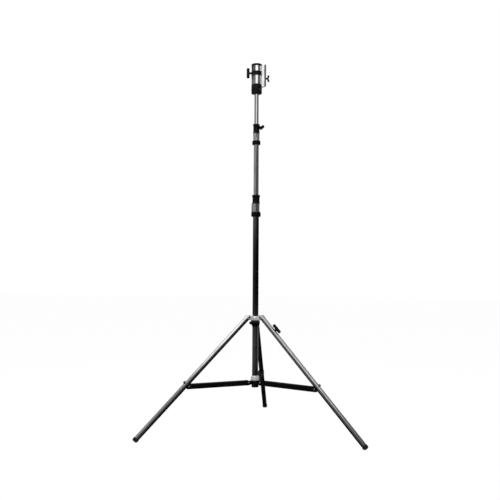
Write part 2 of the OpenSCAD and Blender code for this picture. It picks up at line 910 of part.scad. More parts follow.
module leg_pivot_bolts() {
    face = ear_inner + ear_wall;
    color("silver")
        for (angle = leg_angles, side = [0, 180])
            rotate([0, 0, angle])
                translate([leg_pivot_r, 0, leg_pivot_z])
                    rotate([side, 0, 0]) {
                        rod_y(pivot_d / 2, ear_inner, face + eps);
                        rod_y(pivot_head_d / 2, face, face + pivot_head_h);
                        rod_y(pivot_button_d / 2, face + pivot_head_h - eps,
                            face + pivot_head_h + pivot_button_h);
                    }
}

module leg_collar_lock_pad() {
    out_from_column(270, collar_lock_z) lock_pad(base_r);
}

module leg_collar_lock_screw() {
    out_from_column(270, collar_lock_z) lock_screw(base_r, collar_lock_reach);
}

module leg_collar_lock_handle() {
    out_from_column(270, collar_lock_z)
        lock_handle(collar_sleeve_d / 2, collar_lock_reach, 90);
}

// Legs

// a leg tube with a closed round top end and a cross hole for its pivot
module leg_tube(tube_end) {
    difference() {
        union() {
            cylinder(r = leg_r, h = tube_end);
            intersection() {
                translate([0, 0, -leg_r]) cylinder(r = leg_r, h = 2 * leg_r);
                rod_y(leg_r, -leg_r - 1, leg_r + 1);
            }
        }
        translate([0, 0, closed_end]) cylinder(r = leg_bore_r, h = tube_end);
        rod_y(pivot_d / 2 + fit_gap, -far, far);
        translate([0, 0, bracket_t]) rod_x(bracket_bolt_d / 2, -far, far);
    }
}

module leg_left_tube() {
    color("gainsboro") along_leg(left) leg_tube(leg_tube_end);
}

module leg_rear_tube() {
    color("gainsboro") along_leg(rear) leg_tube(leg_tube_end);
}

module leg_right_tube() {
    color("gainsboro") {
        difference() {
            union() {
                along_leg(right) leg_tube(leg_tube_end - foot_cap_l - levelling_show);
                at_levelling_lock() rod_x(boss_r, leg_bore_r + 0.5, leg_r + boss_h);
            }
            at_levelling_lock() lock_hole(levelling_r, leg_r + boss_h);
        }
    }
}

// a saddle block on the leg's inner side that carries the brace's outer pivot
module bracket() {
    difference() {
        translate([0, tab_half, bracket_t])
            rotate([90, 0, 0])
                linear_extrude(2 * tab_half)
                    union() {
                        translate([bracket_offset, 0]) circle(r = tab_r);
                        polygon([
                            [leg_r * 0.6, -bracket_l / 2], [leg_r + 1, -bracket_l / 2],
                            [bracket_offset + tab_r * sin(45), -tab_r * cos(45)],
                            [bracket_offset + tab_r * sin(45), tab_r * cos(45)],
                            [leg_r + 1, bracket_l / 2], [leg_r * 0.6, bracket_l / 2]
                        ]);
                    }
        translate([0, 0, bracket_t - far / 2]) cylinder(r = leg_r, h = far);
        translate([bracket_offset, 0, bracket_t]) rod_y(rivet_d / 2, -far, far);
    }
}

// the bolt through leg and bracket with its nut, and the brace's outer rivet
module leg_fasteners() {
    translate([0, 0, bracket_t]) {
        rod_x(bracket_bolt_d / 2, -leg_r - nut_h - bolt_tip, leg_r - leg_wall + bolt_tip);
        difference() {
            union() {
                translate([-leg_r - nut_h, 0, 0])
                    rotate([0, 90, 0]) cylinder(d = nut_d, h = nut_h, $fn = 6);
                rod_x(washer_d / 2, -leg_r - washer_h, -leg_r);
            }
            rod_x(bracket_bolt_d / 2, -far, far);
        }
        translate([bracket_offset, 0, 0]) cross_rivet();
    }
}

// a rubber cap on the end of a tube of radius r, worn flat where it stands
module foot_cap(angle, r) {
    outer = foot_cap_d / 2;
    start = leg_tube_end - foot_cap_l;
    end = leg_tube_end + foot_cap_end;
    intersection() {
        along_leg(angle)
            difference() {
                translate([0, 0, start])
                    rotate_extrude()
                        polygon([
                            [0, 0], [outer - 1.5, 0], [outer, 1.5],
                            for (a = [0:7.5:90])
                                [outer - foot_soft * (1 - cos(a)),
                                    end - start - foot_soft * (1 - sin(a))],
                            [0, end - start]
                        ]);
                translate([0, 0, start - 1]) cylinder(r = r, h = leg_tube_end - start + 1);
            }
        translate([-far, -far, 0]) cube([2 * far, 2 * far, far]);
    }
}

module leg_left_bracket() {
    color("#1c1c1c") along_leg(left) bracket();
}

module leg_right_bracket() {
    color("#1c1c1c") along_leg(right) bracket();
}

module leg_rear_bracket() {
    color("#1c1c1c") along_leg(rear) bracket();
}

module leg_left_fasteners() {
    color("silver") along_leg(left) leg_fasteners();
}

module leg_right_fasteners() {
    color("silver") along_leg(right) leg_fasteners();
}

module leg_rear_fasteners() {
    color("silver") along_leg(rear) leg_fasteners();
}

module foot_left() {
    color("#101010") foot_cap(left, leg_r);
}

module foot_right() {
    color("#101010") foot_cap(right, levelling_r);
}

module foot_rear() {
    color("#101010") foot_cap(rear, leg_r);
}

// the inner tube of the levelling leg, slotted where the bracket's bolt passes
module levelling_tube() {
    slot_r = bracket_bolt_d / 2 + side_gap;
    color("silver")
        along_leg(right)
            difference() {
                tube(levelling_r, levelling_bore_r, levelling_top_t, leg_tube_end);
                for (t = [bracket_t - levelling_travel, bracket_t])
                    translate([0, 0, t]) rod_x(slot_r, -leg_r, leg_r);
                translate([-leg_r, -slot_r, bracket_t - levelling_travel])
                    cube([2 * leg_r, 2 * slot_r, levelling_travel]);
            }
}

module levelling_lock_pad() {
    at_levelling_lock() lock_pad(levelling_r);
}

module levelling_lock_screw() {
    at_levelling_lock() lock_screw(levelling_r, levelling_reach);
}

module levelling_lock_handle() {
    at_levelling_lock() lock_handle(leg_r + boss_h, levelling_reach);
}

// Braces

// a U-channel, open below, whose two walls run on past the top to the pivots
module brace_channel() {
    half = brace_h / 2;
    outer = channel_half + brace_wall;
    difference() {
        union() {
            translate([0, -outer, -half]) cube([brace_l + brace_nose, 2 * outer, brace_h]);
            for (x = [0, brace_l + brace_nose])
                translate([x, 0, 0]) rod_y(half, -outer, outer);
        }
        translate([-far, -channel_half, -far])
            cube([2 * far, 2 * channel_half, far + half - brace_wall]);
        translate([-half - 1, -channel_half, -far])
            cube([half + 1 + web_start, 2 * channel_half, 2 * far]);
        translate([brace_l - web_end, -channel_half, -far])
            cube([half + 1 + web_end + brace_nose, 2 * channel_half, 2 * far]);
        for (x = [0, brace_l])
            translate([x, 0, 0]) rod_y(rivet_d / 2 + fit_gap, -outer - 1, outer + 1);
    }
}

module brace_left() {
    color("#141414") along_brace(left) brace_channel();
}

module brace_right() {
    color("#141414") along_brace(right) brace_channel();
}

module brace_rear() {
    color("#141414") along_brace(rear) brace_channel();
}

base_tube();
base_bottom_cap();
hub_lock_ring();
brace_hub();
hub_dome();
hub_rivets();
base_collar_ring();
base_collar_sleeve();
base_clamp_collar();
base_lock_pad();
base_lock_screw();
base_lock_handle();
riser_1_guide();
riser_1_tube();
riser_1_collar_ring();
riser_1_collar_sleeve();
riser_1_clamp_collar();
riser_1_lock_pad();
riser_1_lock_screw();
riser_1_lock_handle();
riser_2_guide();
riser_2_tube();
head_socket();
head_set_screws();
head_body();
head_top_ring();
head_clamp_band();
junior_sleeve();
head_lock_pad();
head_lock_screw();
head_lock_handle();
baby_block();
baby_lock_pad();
baby_wing_screw();
leg_collar_casting();
leg_collar_sleeve();
leg_pivot_bolts();
leg_collar_lock_pad();
leg_collar_lock_screw();
leg_collar_lock_handle();
leg_left_tube();
leg_right_tube();
leg_rear_tube();
leg_left_bracket();
leg_right_bracket();
leg_rear_bracket();
leg_left_fasteners();
leg_right_fasteners();
leg_rear_fasteners();
foot_left();
foot_right();
foot_rear();
levelling_tube();
levelling_lock_pad();
levelling_lock_screw();
levelling_lock_handle();
brace_left();
brace_right();
brace_rear();
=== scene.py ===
"""Finishes, fine pieces, studio and camera of a combo stand.

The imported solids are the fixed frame. Each class below dresses one sub-assembly: it gives the
solids their finishes, and replaces those whose turned or moulded form needs a finer mesh.
"""
import json
import logging
import math
from dataclasses import dataclass, field, replace
from enum import Enum
from typing import Iterable, Sequence

import bmesh
import bpy
from mathutils import Matrix, Vector


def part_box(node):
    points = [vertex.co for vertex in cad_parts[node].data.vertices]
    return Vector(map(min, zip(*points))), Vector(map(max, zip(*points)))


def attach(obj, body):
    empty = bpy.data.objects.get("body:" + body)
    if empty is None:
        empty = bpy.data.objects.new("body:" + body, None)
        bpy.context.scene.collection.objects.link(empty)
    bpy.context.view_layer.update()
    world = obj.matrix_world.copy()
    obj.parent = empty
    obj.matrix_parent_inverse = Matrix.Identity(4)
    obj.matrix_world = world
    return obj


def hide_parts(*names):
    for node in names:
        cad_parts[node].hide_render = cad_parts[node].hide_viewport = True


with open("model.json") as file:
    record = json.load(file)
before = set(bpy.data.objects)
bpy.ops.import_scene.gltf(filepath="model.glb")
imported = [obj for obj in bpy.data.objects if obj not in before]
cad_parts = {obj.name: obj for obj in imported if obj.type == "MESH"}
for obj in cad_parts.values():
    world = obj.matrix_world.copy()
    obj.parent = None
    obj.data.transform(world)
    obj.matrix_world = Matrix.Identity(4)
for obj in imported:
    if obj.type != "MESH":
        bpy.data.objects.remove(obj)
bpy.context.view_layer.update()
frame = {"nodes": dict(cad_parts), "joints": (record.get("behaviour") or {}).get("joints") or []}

log = logging.getLogger("combo_stand")

MM = 0.001

Colour = tuple[float, float, float]
Triple = tuple[float, float, float]
Corner = tuple[float, float, float]
Feed = "Wire | float | Sequence[float]"


class Wire:
    """A shader socket on which arithmetic adds Math nodes."""

    def __init__(self, shader: "Shader", socket: bpy.types.NodeSocket) -> None:
        """Wrap a socket.

        Args:
            shader: The shader whose tree holds the socket.
            socket: The output socket to wrap.
        """
        self.shader = shader
        self.socket = socket

    def maths(self, operation: str, left: Feed, right: Feed) -> "Wire":
        """Add one Math node.

        Args:
            operation: Blender's name of the operation.
            left: First value.
            right: Second value.

        Returns:
            The node's result.
        """
        return self.shader.add("ShaderNodeMath", {"operation": operation}, {0: left, 1: right})

    def __add__(self, other: Feed) -> "Wire":
        """This plus other."""
        return self.maths("ADD", self, other)

    def __radd__(self, other: Feed) -> "Wire":
        """Other plus this."""
        return self.maths("ADD", other, self)

    def __sub__(self, other: Feed) -> "Wire":
        """This minus other."""
        return self.maths("SUBTRACT", self, other)

    def __rsub__(self, other: Feed) -> "Wire":
        """Other minus this."""
        return self.maths("SUBTRACT", other, self)

    def __mul__(self, other: Feed) -> "Wire":
        """This times other."""
        return self.maths("MULTIPLY", self, other)

    def __rmul__(self, other: Feed) -> "Wire":
        """Other times this."""
        return self.maths("MULTIPLY", other, self)


class Shader:
    """The node tree of one finish: a Principled surface and what feeds it."""

    def __init__(self, name: str) -> None:
        """Start a material.

        Args:
            name: The material's name.
        """
        self.material = bpy.data.materials.new(name)
        self.material.use_nodes = True
        self.tree = self.material.node_tree
        self.tree.nodes.clear()
        self.surface = self.tree.nodes.new("ShaderNodeBsdfPrincipled")
        output = self.tree.nodes.new("ShaderNodeOutputMaterial")
        self.tree.links.new(self.surface.outputs["BSDF"], output.inputs["Surface"])

    def feed(self, socket: bpy.types.NodeSocket, value: Feed) -> None:
        """Link a wire to a socket, or set the socket's own value.

        Args:
            socket: The input socket.
            value: A wire, a number or a colour.
        """
        if isinstance(value, Wire):
            self.tree.links.new(value.socket, socket)
        else:
            socket.default_value = value

    def add(self, kind: str, settings: dict | None = None, values: dict | None = None,
            result: int | str = 0) -> Wire:
        """Add any node.

        Args:
            kind: Blender's name of the node type.
            settings: The node's properties, set first.
            values: Values or wires of its input sockets, by name or index.
            result: Name or index of the output to return.

        Returns:
            The chosen output.
        """
        node = self.tree.nodes.new(kind)
        for key, value in (settings or {}).items():
            setattr(node, key, value)
        for key, value in (values or {}).items():
            self.feed(node.inputs[key], value)
        return Wire(self, node.outputs[result])

    def place(self) -> Wire:
        """Where the surface point is, in metres, fixed to the piece."""
        return self.add("ShaderNodeTexCoord", result="Object")

    def noise(self, place: Wire, scale: float, detail: float = 2.0) -> Wire:
        """Fractal noise.

        Args:
            place: Coordinates in metres.
            scale: Features per metre.
            detail: Number of octaves.

        Returns:
            A value about 0.5.
        """
        return self.add("ShaderNodeTexNoise", None,
                        {"Vector": place, "Scale": scale, "Detail": detail}, "Fac")

    def band(self, value: Wire, low: float, high: float) -> Wire:
        """Rise from 0 at low to 1 at high, held outside.

        Args:
            value: The value to map.
            low: Where the rise starts.
            high: Where it ends.

        Returns:
            The mapped value.
        """
        return self.add("ShaderNodeMapRange", {"interpolation_type": "SMOOTHSTEP"},
                        {"Value": value, "From Min": low, "From Max": high})

    def blend(self, factor: Feed, first: Feed, second: Feed) -> Wire:
        """Mix two colours.

        Args:
            factor: 0 for the first, 1 for the second.
            first: A colour.
            second: A colour.

        Returns:
            The mixed colour.
        """
        colours = [(*c, 1.0) if isinstance(c, tuple) else c for c in (first, second)]
        return self.add("ShaderNodeMix", {"data_type": "RGBA"},
                        {0: factor, 6: colours[0], 7: colours[1]}, 2)

    def drawn_out(self, place: Wire, axis: Triple, stretch: float) -> Wire:
        """Coordinates drawn out along an axis, for marks that run along a tube.

        Args:
            place: Coordinates in metres.
            axis: Unit direction of the tube.
            stretch: How many times longer marks become.

        Returns:
            The new coordinates.
        """
        along = self.add("ShaderNodeVectorMath", {"operation": "DOT_PRODUCT"},
                         {0: place, 1: axis}, "Value")
        shift = self.add("ShaderNodeVectorMath", {"operation": "SCALE"},
                         {0: axis, "Scale": along * (1.0 - 1.0 / stretch)})
        return self.add("ShaderNodeVectorMath", {"operation": "SUBTRACT"}, {0: place, 1: shift})

    def soft_edges(self, radius: float) -> Wire:
        """The normal as if every edge were rounded by radius."""
        return self.add("ShaderNodeBevel", {"samples": 6}, {"Radius": radius})

    def worn_edges(self, soft: Wire) -> Wire:
        """Where edges stand out and wear.

        Args:
            soft: The normal from soft_edges.

        Returns:
            1 on an edge, 0 on a flat.
        """
        normal = self.add("ShaderNodeNewGeometry", result="Normal")
        facing = self.add("ShaderNodeVectorMath", {"operation": "DOT_PRODUCT"},
                          {0: soft, 1: normal}, "Value")
        return self.band(1.0 - facing, 0.015, 0.12)

    def relief(self, height: Wire, depth: float, normal: Wire | None = None) -> Wire:
        """A bumped normal.

        Args:
            height: The relief, 0 to 1.
            depth: Its full depth in metres.
            normal: The normal to start from.

        Returns:
            The bumped normal.
        """
        values: dict = {"Height": height, "Distance": depth, "Strength": 1.0}
        if normal is not None:
            values["Normal"] = normal
        return self.add("ShaderNodeBump", None, values)

    def paint(self, values: dict[str, Feed]) -> None:
        """Feed the surface's sockets by name."""
        for name, value in values.items():
            flat = (*value, 1.0) if isinstance(value, tuple) else value
            self.feed(self.surface.inputs[name], flat)


@dataclass(frozen=True)
class Finish:
    """What every finish states.

    Attributes:
        slot: The record's material slot it belongs to.
        colour: Its main colour.
        roughness: Its roughness where it is clean.
        gloss: Its specular level.
    """

    slot: str
    colour: Colour
    roughness: float
    gloss: float = field(default=0.5, kw_only=True)

    def lay_on(self, shader: Shader) -> None:
        """Build the finish's nodes on a shader."""
        raise NotImplementedError


@dataclass(frozen=True)
class Plating(Finish):
    """Chrome on a drawn tube: bright, with haze, drawing lines and rubbed scratches.

    Attributes:
        haze: Colour of the dulled patches.
        axis: Direction of the tube.
        scratched: How strongly the rubbed scratches show.
    """

    haze: Colour = (0.5, 0.5, 0.5)
    axis: Triple = (0.0, 0.0, 1.0)
    scratched: float = 0.5

    def lay_on(self, shader: Shader) -> None:
        """Build the finish's nodes on a shader."""
        place = shader.place()
        drawn = shader.drawn_out(place, self.axis, 80.0)
        lines = shader.noise(drawn, 1500.0, 3.0)
        scratches = shader.band(shader.noise(drawn, 700.0, 2.0), 0.66, 0.72) * self.scratched
        patches = shader.band(shader.noise(place, 26.0, 5.0), 0.45, 0.75)
        shader.paint({
            "Base Color": shader.blend(patches * 0.55 + scratches * 0.3, self.colour, self.haze),
            "Metallic": 1.0,
            "Roughness": self.roughness + patches * 0.10 + scratches * 0.16,
            "Normal": shader.relief(lines * 0.4 + scratches, 0.00003),
        })


@dataclass(frozen=True)
class Casting(Finish):
    """Die-cast aluminium under a clear satin finish, rubbed on its edges, with an optional rim of painted
    shade.

    Attributes:
        shade: Colour in the pores and hollows.
        edge: Radius of its rounded edges.
        metal: How metallic it is where it is clean.
        rim: How far along X its painted shade begins, in metres, or 0.
        rim_painted_shade: Colour of the shade painted on the rim.
    """

    shade: Colour = (0.5, 0.5, 0.51)
    edge: float = 0.8 * MM
    metal: float = 1.0
    rim: float = 0.0
    rim_painted_shade: Colour = (0.085, 0.085, 0.09)

    def lay_on(self, shader: Shader) -> None:
        """Build the finish's nodes on a shader."""
        place = shader.place()
        grain = shader.noise(place, 1100.0, 4.0)
        pores = shader.band(shader.noise(place, 420.0, 2.0), 0.64, 0.74)
        cloud = shader.band(shader.noise(place, 38.0, 4.0), 0.4, 0.75)
        soft = shader.soft_edges(self.edge)
        rubbed = shader.worn_edges(soft)
        skin = shader.blend(cloud * 0.35 + pores * 0.4 - rubbed * 0.3, self.colour, self.shade)
        # Painted shade: from rim outwards along X the colour turns to the rim's dark grey, shade painted on
        # the outer edge.
        if self.rim > 0:
            across = shader.add("ShaderNodeSeparateXYZ", None, {0: place}, "X")
            dulled = shader.band(across + cloud * 0.4 * MM, self.rim - 1.5 * MM, self.rim)
            skin = shader.blend(dulled, skin, self.rim_painted_shade)
        shader.paint({
            "Base Color": skin,
            "Metallic": self.metal,
            "Roughness": self.roughness + cloud * 0.12 - rubbed * 0.1,
            "Normal": shader.relief(grain - pores * 0.8, 0.00008, soft),
        })


@dataclass(frozen=True)
class PowderCoat(Finish):
    """Black powder coat with orange peel, dulled by handling and worn grey on its edges.

    Attributes:
        dust: Colour of the dulled patches.
        bare: Colour where the coat is worn through.
        edge: Radius of its rounded edges.
    """

    dust: Colour = (0.0065, 0.0065, 0.0068)
    bare: Colour = (0.036, 0.036, 0.038)
    edge: float = 0.7 * MM

    def lay_on(self, shader: Shader) -> None:
        """Build the finish's nodes on a shader."""
        place = shader.place()
        peel = shader.noise(place, 850.0, 2.0)
        patches = shader.band(shader.noise(place, 45.0, 5.0), 0.45, 0.78)
        soft = shader.soft_edges(self.edge)
        chipped = shader.band(shader.noise(place, 240.0, 3.0), 0.5, 0.62)
        worn = shader.worn_edges(soft) * chipped
        coat = shader.blend(patches * 0.7, self.colour, self.dust)
        shader.paint({
            "Base Color": shader.blend(worn, coat, self.bare),
            "Metallic": 0.0,
            "Roughness": self.roughness + patches * 0.14 - worn * 0.1,
            "Specular IOR Level": self.gloss,
            "Normal": shader.relief(peel, 0.00010, soft),
        })


@dataclass(frozen=True)
class Moulding(Finish):
    """Moulded plastic or rubber: a fine spark-eroded grain, handled smoother on its edges.

    Attributes:
        worn: Colour where hands or the floor have rubbed it.
        grain: Grains per metre.
        depth: Depth of the grain in metres.
        dusty: Height above the floor below which dust lies, in metres.
    """

    worn: Colour = (0.014, 0.014, 0.014)
    grain: float = 1600.0
    depth: float = 0.00010
    dusty: float = 0.0

    def lay_on(self, shader: Shader) -> None:
        """Build the finish's nodes on a shader."""
        place = shader.place()
        grain = shader.noise(place, self.grain, 3.0)
        patches = shader.band(shader.noise(place, 60.0, 4.0), 0.42, 0.78)
        soft = shader.soft_edges(0.5 * MM)
        handled = shader.worn_edges(soft)
        rubbed = patches * 0.5 + handled * 0.4
        if self.dusty > 0:
            height = shader.add("ShaderNodeSeparateXYZ", None, {0: place}, "Z")
            low = 1.0 - shader.band(height, 0.0, self.dusty)
            rubbed = rubbed + low * shader.noise(place, 300.0, 4.0)
        shader.paint({
            "Base Color": shader.blend(rubbed, self.colour, self.worn),
            "Metallic": 0.0,
            "Roughness": self.roughness + patches * 0.12 - handled * 0.08,
            "Specular IOR Level": self.gloss,
            "Normal": shader.relief(grain, self.depth, soft),
        })


@dataclass(frozen=True)
class Turning(Finish):
    """Turned or plated small metal, with tool marks and a little tarnish.

    Attributes:
        tarnish: Colour of the tarnish.
        edge: Radius of its rounded edges.
    """

    tarnish: Colour = (0.3, 0.3, 0.3)
    edge: float = 0.3 * MM

    def lay_on(self, shader: Shader) -> None:
        """Build the finish's nodes on a shader."""
        place = shader.place()
        marks = shader.noise(place, 2600.0, 2.0)
        patches = shader.band(shader.noise(place, 180.0, 4.0), 0.45, 0.75)
        soft = shader.soft_edges(self.edge)
        shader.paint({
            "Base Color": shader.blend(patches * 0.6, self.colour, self.tarnish),
            "Metallic": 1.0,
            "Roughness": self.roughness + patches * 0.15,
            "Normal": shader.relief(marks, 0.00004, soft),
        })


class Look(Enum):
    """The stand's finishes."""

    DARK_CHROME = Plating("dark_chrome", (0.20, 0.20, 0.21), 0.16, (0.13, 0.13, 0.13))
    RISER_CHROME = Plating("dark_chrome", (0.62, 0.62, 0.63), 0.13, (0.42, 0.42, 0.42))
    BRIGHT_CHROME = Plating("bright_chrome", (0.80, 0.80, 0.81), 0.10, (0.58, 0.58, 0.58))
    PLATED_CASTING = Plating("plated_casting", (0.82, 0.82, 0.83), 0.09, (0.60, 0.60, 0.60))
    LEG_CHROME = Plating("leg_chrome", (0.62, 0.62, 0.63), 0.14, (0.42, 0.42, 0.42))
    CAST_SLEEVE = Casting("cast_silver", (0.72, 0.72, 0.73), 0.30)
    CAST_SILVER = Casting("cast_silver", (0.78, 0.78, 0.79), 0.32, metal=0.5)
    # The side block's outer edge, from 46.5 mm along X, carries painted shade.
    CAST_BLOCK = Casting("cast_silver", (0.84, 0.84, 0.85), 0.34, edge=4.5 * MM, metal=0.45,
                         rim=46.5 * MM)
    BLACK_CASTING = PowderCoat("black_casting", (0.0022, 0.0022, 0.0024), 0.34, gloss=0.16)
    BLACK_BRACE = PowderCoat("black_brace", (0.0018, 0.0018, 0.0020), 0.42, (0.005, 0.005, 0.0052), gloss=0.12)
    BLACK_PLASTIC = Moulding("black_plastic", (0.0024, 0.0024, 0.0026), 0.44, (0.009, 0.009, 0.009), gloss=0.2)
    FOOT_RUBBER = Moulding("foot_rubber", (0.006, 0.006, 0.006), 0.68, (0.035, 0.033, 0.031),
                           700.0, 0.00018, 0.02, gloss=0.2)
    GUIDE_NYLON = Moulding("guide_nylon", (0.80, 0.78, 0.71), 0.45, (0.62, 0.60, 0.54))
    SCREW_STEEL = Turning("screw_steel", (0.66, 0.66, 0.67), 0.26)
    PAD_BRASS = Turning("pad_brass", (0.78, 0.57, 0.25), 0.28, (0.42, 0.29, 0.13))
    RECEIVER_STEEL = Turning("receiver_steel", (0.46, 0.46, 0.47), 0.30, (0.25, 0.25, 0.25))


class PaintShop:
    """Makes each finish's material once."""

    def __init__(self) -> None:
        """Start with no material."""
        self.made: dict[Finish, bpy.types.Material] = {}

    def material(self, finish: Finish) -> bpy.types.Material:
        """The material of a finish.

        Args:
            finish: The finish.

        Returns:
            Its material, made on first use.
        """
        if finish not in self.made:
            shader = Shader(f"{finish.slot}_{len(self.made)}")
            finish.lay_on(shader)
            self.made[finish] = shader.material
        return self.made[finish]


class Join(Enum):
    """How one form is combined with another."""

    ADD = "UNION"
    CUT = "DIFFERENCE"


def rounded(corners: Iterable[Corner], steps: int = 5) -> list[tuple[float, float]]:
    """Round the corners of a closed outline.

    Args:
        corners: Points (across, along, radius); a radius of 0 keeps the corner sharp.
        steps: Segments in each round.

    Returns:
        The outline's points.
    """
    points = list(corners)
    outline: list[tuple[float, float]] = []
    for index, (x, y, radius) in enumerate(points):
        here = Vector((x, y))
        before = Vector(points[index - 1][:2]) - here
        after = Vector(points[(index + 1) % len(points)][:2]) - here
        if radius <= 0:
            outline.append((x, y))
            continue
        half = before.angle(after) / 2
        reach = min(radius / math.tan(half), before.length * 0.49, after.length * 0.49)
        start = here + before.normalized() * reach
        end = here + after.normalized() * reach
        for step in range(steps + 1):
            t = step / steps
            point = start * (1 - t) ** 2 + here * 2 * t * (1 - t) + end * t ** 2
            outline.append((point.x, point.y))
    return outline


class Form:
    """A closed mesh in the making, in metres."""

    def __init__(self, mesh: bpy.types.Mesh) -> None:
        """Hold a mesh.

        Args:
            mesh: The mesh.
        """
        self.mesh = mesh

    @classmethod
    def from_faces(cls, points: Sequence[Vector], faces: Sequence[Sequence[int]]) -> "Form":
        """Make a form from points and faces, with its normals outwards."""
        mesh = bpy.data.meshes.new("form")
        mesh.from_pydata([tuple(p) for p in points], [], [tuple(f) for f in faces])
        work = bmesh.new()
        work.from_mesh(mesh)
        bmesh.ops.remove_doubles(work, verts=work.verts, dist=1e-7)
        bmesh.ops.recalc_face_normals(work, faces=work.faces)
        work.to_mesh(mesh)
        work.free()
        return cls(mesh)

    @classmethod
    def lathe(cls, outline: Sequence[tuple[float, float]], turns: int = 96) -> "Form":
        """Turn a closed outline about Z.

        Args:
            outline: Points (radius, height) in order.
            turns: Segments round the axis.

        Returns:
            The turned form.
        """
        points = []
        for step in range(turns):
            angle = math.tau * step / turns
            c, s = math.cos(angle), math.sin(angle)
            points += [Vector((r * c, r * s, z)) for r, z in outline]
        size = len(outline)
        faces = []
        for step in range(turns):
            here, there = step * size, (step + 1) % turns * size
            for k in range(size):
                j = (k + 1) % size
                if outline[k][0] > 1e-9 or outline[j][0] > 1e-9:
                    faces.append((here + k, here + j, there + j, there + k))
        return cls.from_faces(points, faces)

    @classmethod
    def rod(cls, radius: float, start: float, end: float, soft: float = 0.0,
            turns: int = 48) -> "Form":
        """A rod along Z with rounded edges."""
        return cls.lathe(rounded([(0, start, 0), (radius, start, soft), (radius, end, soft),
                                  (0, end, 0)]), turns)

    @classmethod
    def loft(cls, rings: Sequence[Sequence[Vector]]) -> "Form":
        """Join rings of equal length into a skin and cap both ends."""
        size = len(rings[0])
        points = [p for ring in rings for p in ring]
        faces: list[Sequence[int]] = []
        for row in range(len(rings) - 1):
            for k in range(size):
                j = (k + 1) % size
                faces.append((row * size + k, row * size + j, (row + 1) * size + j,
                              (row + 1) * size + k))
        faces.append(tuple(range(size)))
        faces.append(tuple(range((len(rings) - 1) * size, len(rings) * size)))
        return cls.from_faces(points, faces)

    @classmethod
    def hoop(cls, rings: Sequence[Sequence[Vector]]) -> "Form":
        """Join rings into a closed hoop."""
        size, count = len(rings[0]), len(rings)
        points = [p for ring in rings for p in ring]
        faces = [(row * size + k, row * size + (k + 1) % size,
                  (row + 1) % count * size + (k + 1) % size, (row + 1) % count * size + k)
                 for row in range(count) for k in range(size)]
        return cls.from_faces(points, faces)

    def moved(self, where: Matrix) -> "Form":
        """This form, moved."""
        self.mesh.transform(where)
        if where.determinant() < 0:
            self.mesh.flip_normals()
        return self

    def combined(self, other: "Form", how: Join) -> "Form":
        """Join another form to this one, or cut it away.

        Args:
            other: The other form.
            how: Whether it is added or cut.

        Returns:
            The new form.
        """
        ends = [bpy.data.objects.new("work", form.mesh) for form in (self, other)]
        for end in ends:
            bpy.context.scene.collection.objects.link(end)
        step = ends[0].modifiers.new("step", "BOOLEAN")
        step.operation, step.solver, step.object = how.value, "EXACT", ends[1]
        graph = bpy.context.evaluated_depsgraph_get()
        mesh = bpy.data.meshes.new_from_object(ends[0].evaluated_get(graph))
        for end in ends:
            bpy.data.objects.remove(end)
        return Form(mesh)

    def flattened(self, height: float) -> "Form":
        """Cut this form off flat below a height and close it."""
        work = bmesh.new()
        work.from_mesh(self.mesh)
        every = work.verts[:] + work.edges[:] + work.faces[:]
        cut = bmesh.ops.bisect_plane(work, geom=every, plane_co=(0, 0, height),
                                     plane_no=(0, 0, -1), clear_outer=True)
        rim = [e for e in cut["geom_cut"] if isinstance(e, bmesh.types.BMEdge)]
        bmesh.ops.contextual_create(work, geom=rim)
        bmesh.ops.recalc_face_normals(work, faces=work.faces)
        work.to_mesh(self.mesh)
        work.free()
        return self


def joint(name: str) -> dict:
    """The frame's joint of that name."""
    return next(j for j in frame["joints"] if j["name"] == name)


def extent(node: str, origin: Vector, axis: Vector) -> tuple[float, float]:
    """How far a solid reaches along an axis from an origin, low and high, in metres."""
    marks = [(v.co - origin).dot(axis) for v in frame["nodes"][node].data.vertices]
    return min(marks), max(marks)


def facing(origin: Vector, out: Vector, up: Vector) -> Matrix:
    """A frame at origin whose X is out and whose Z is as near to up as it can be."""
    x = out.normalized()
    y = up.cross(x).normalized()
    z = x.cross(y)
    turn = Matrix((x, y, z)).transposed().to_4x4()
    return Matrix.Translation(origin) @ turn


ALONG_X = Matrix.Rotation(math.radians(90), 4, "Y")


@dataclass
class Assembly:
    """A sub-assembly of the stand.

    Attributes:
        shop: Where its materials are made.
    """

    shop: PaintShop

    def dress(self, node: str, finish: Finish, bevel: float = 0.0) -> None:
        """Give a solid its finish.

        Args:
            node: The solid's name.
            finish: Its finish.
            bevel: Width of its bevelled edges in metres, or 0.
        """
        solid = frame["nodes"][node]
        solid.data.materials.clear()
        solid.data.materials.append(self.shop.material(finish))
        if bevel > 0:
            step = solid.modifiers.new("edges", "BEVEL")
            step.width, step.segments, step.limit_method = bevel, 2, "ANGLE"
            step.angle_limit = math.radians(50)
            step.harden_normals = False
        log.info("dressed %s in %s", node, finish.slot)

    def piece(self, name: str, form: Form, body: str, finish: Finish,
              stands_for: Sequence[str] = (), crease: float = 38.0) -> bpy.types.Object:
        """Add a piece that rides on a body.

        Args:
            name: The piece's name.
            form: Its mesh, in the frame.
            body: The body it rides on.
            finish: Its finish.
            stands_for: Solids that it replaces.
            crease: Angle in degrees above which an edge stays sharp.

        Returns:
            The piece.
        """
        form.mesh.name = name
        form.mesh.shade_smooth()
        form.mesh.set_sharp_from_angle(angle=math.radians(crease))
        form.mesh.materials.clear()
        form.mesh.materials.append(self.shop.material(finish))
        made = bpy.data.objects.new(name, form.mesh)
        bpy.context.scene.collection.objects.link(made)
        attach(made, body)
        if stands_for:
            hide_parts(*stands_for)
        log.info("made %s on %s, %d faces", name, body, len(form.mesh.polygons))
        return made

    def build(self) -> None:
        """Dress the solids and add the pieces."""
        raise NotImplementedError


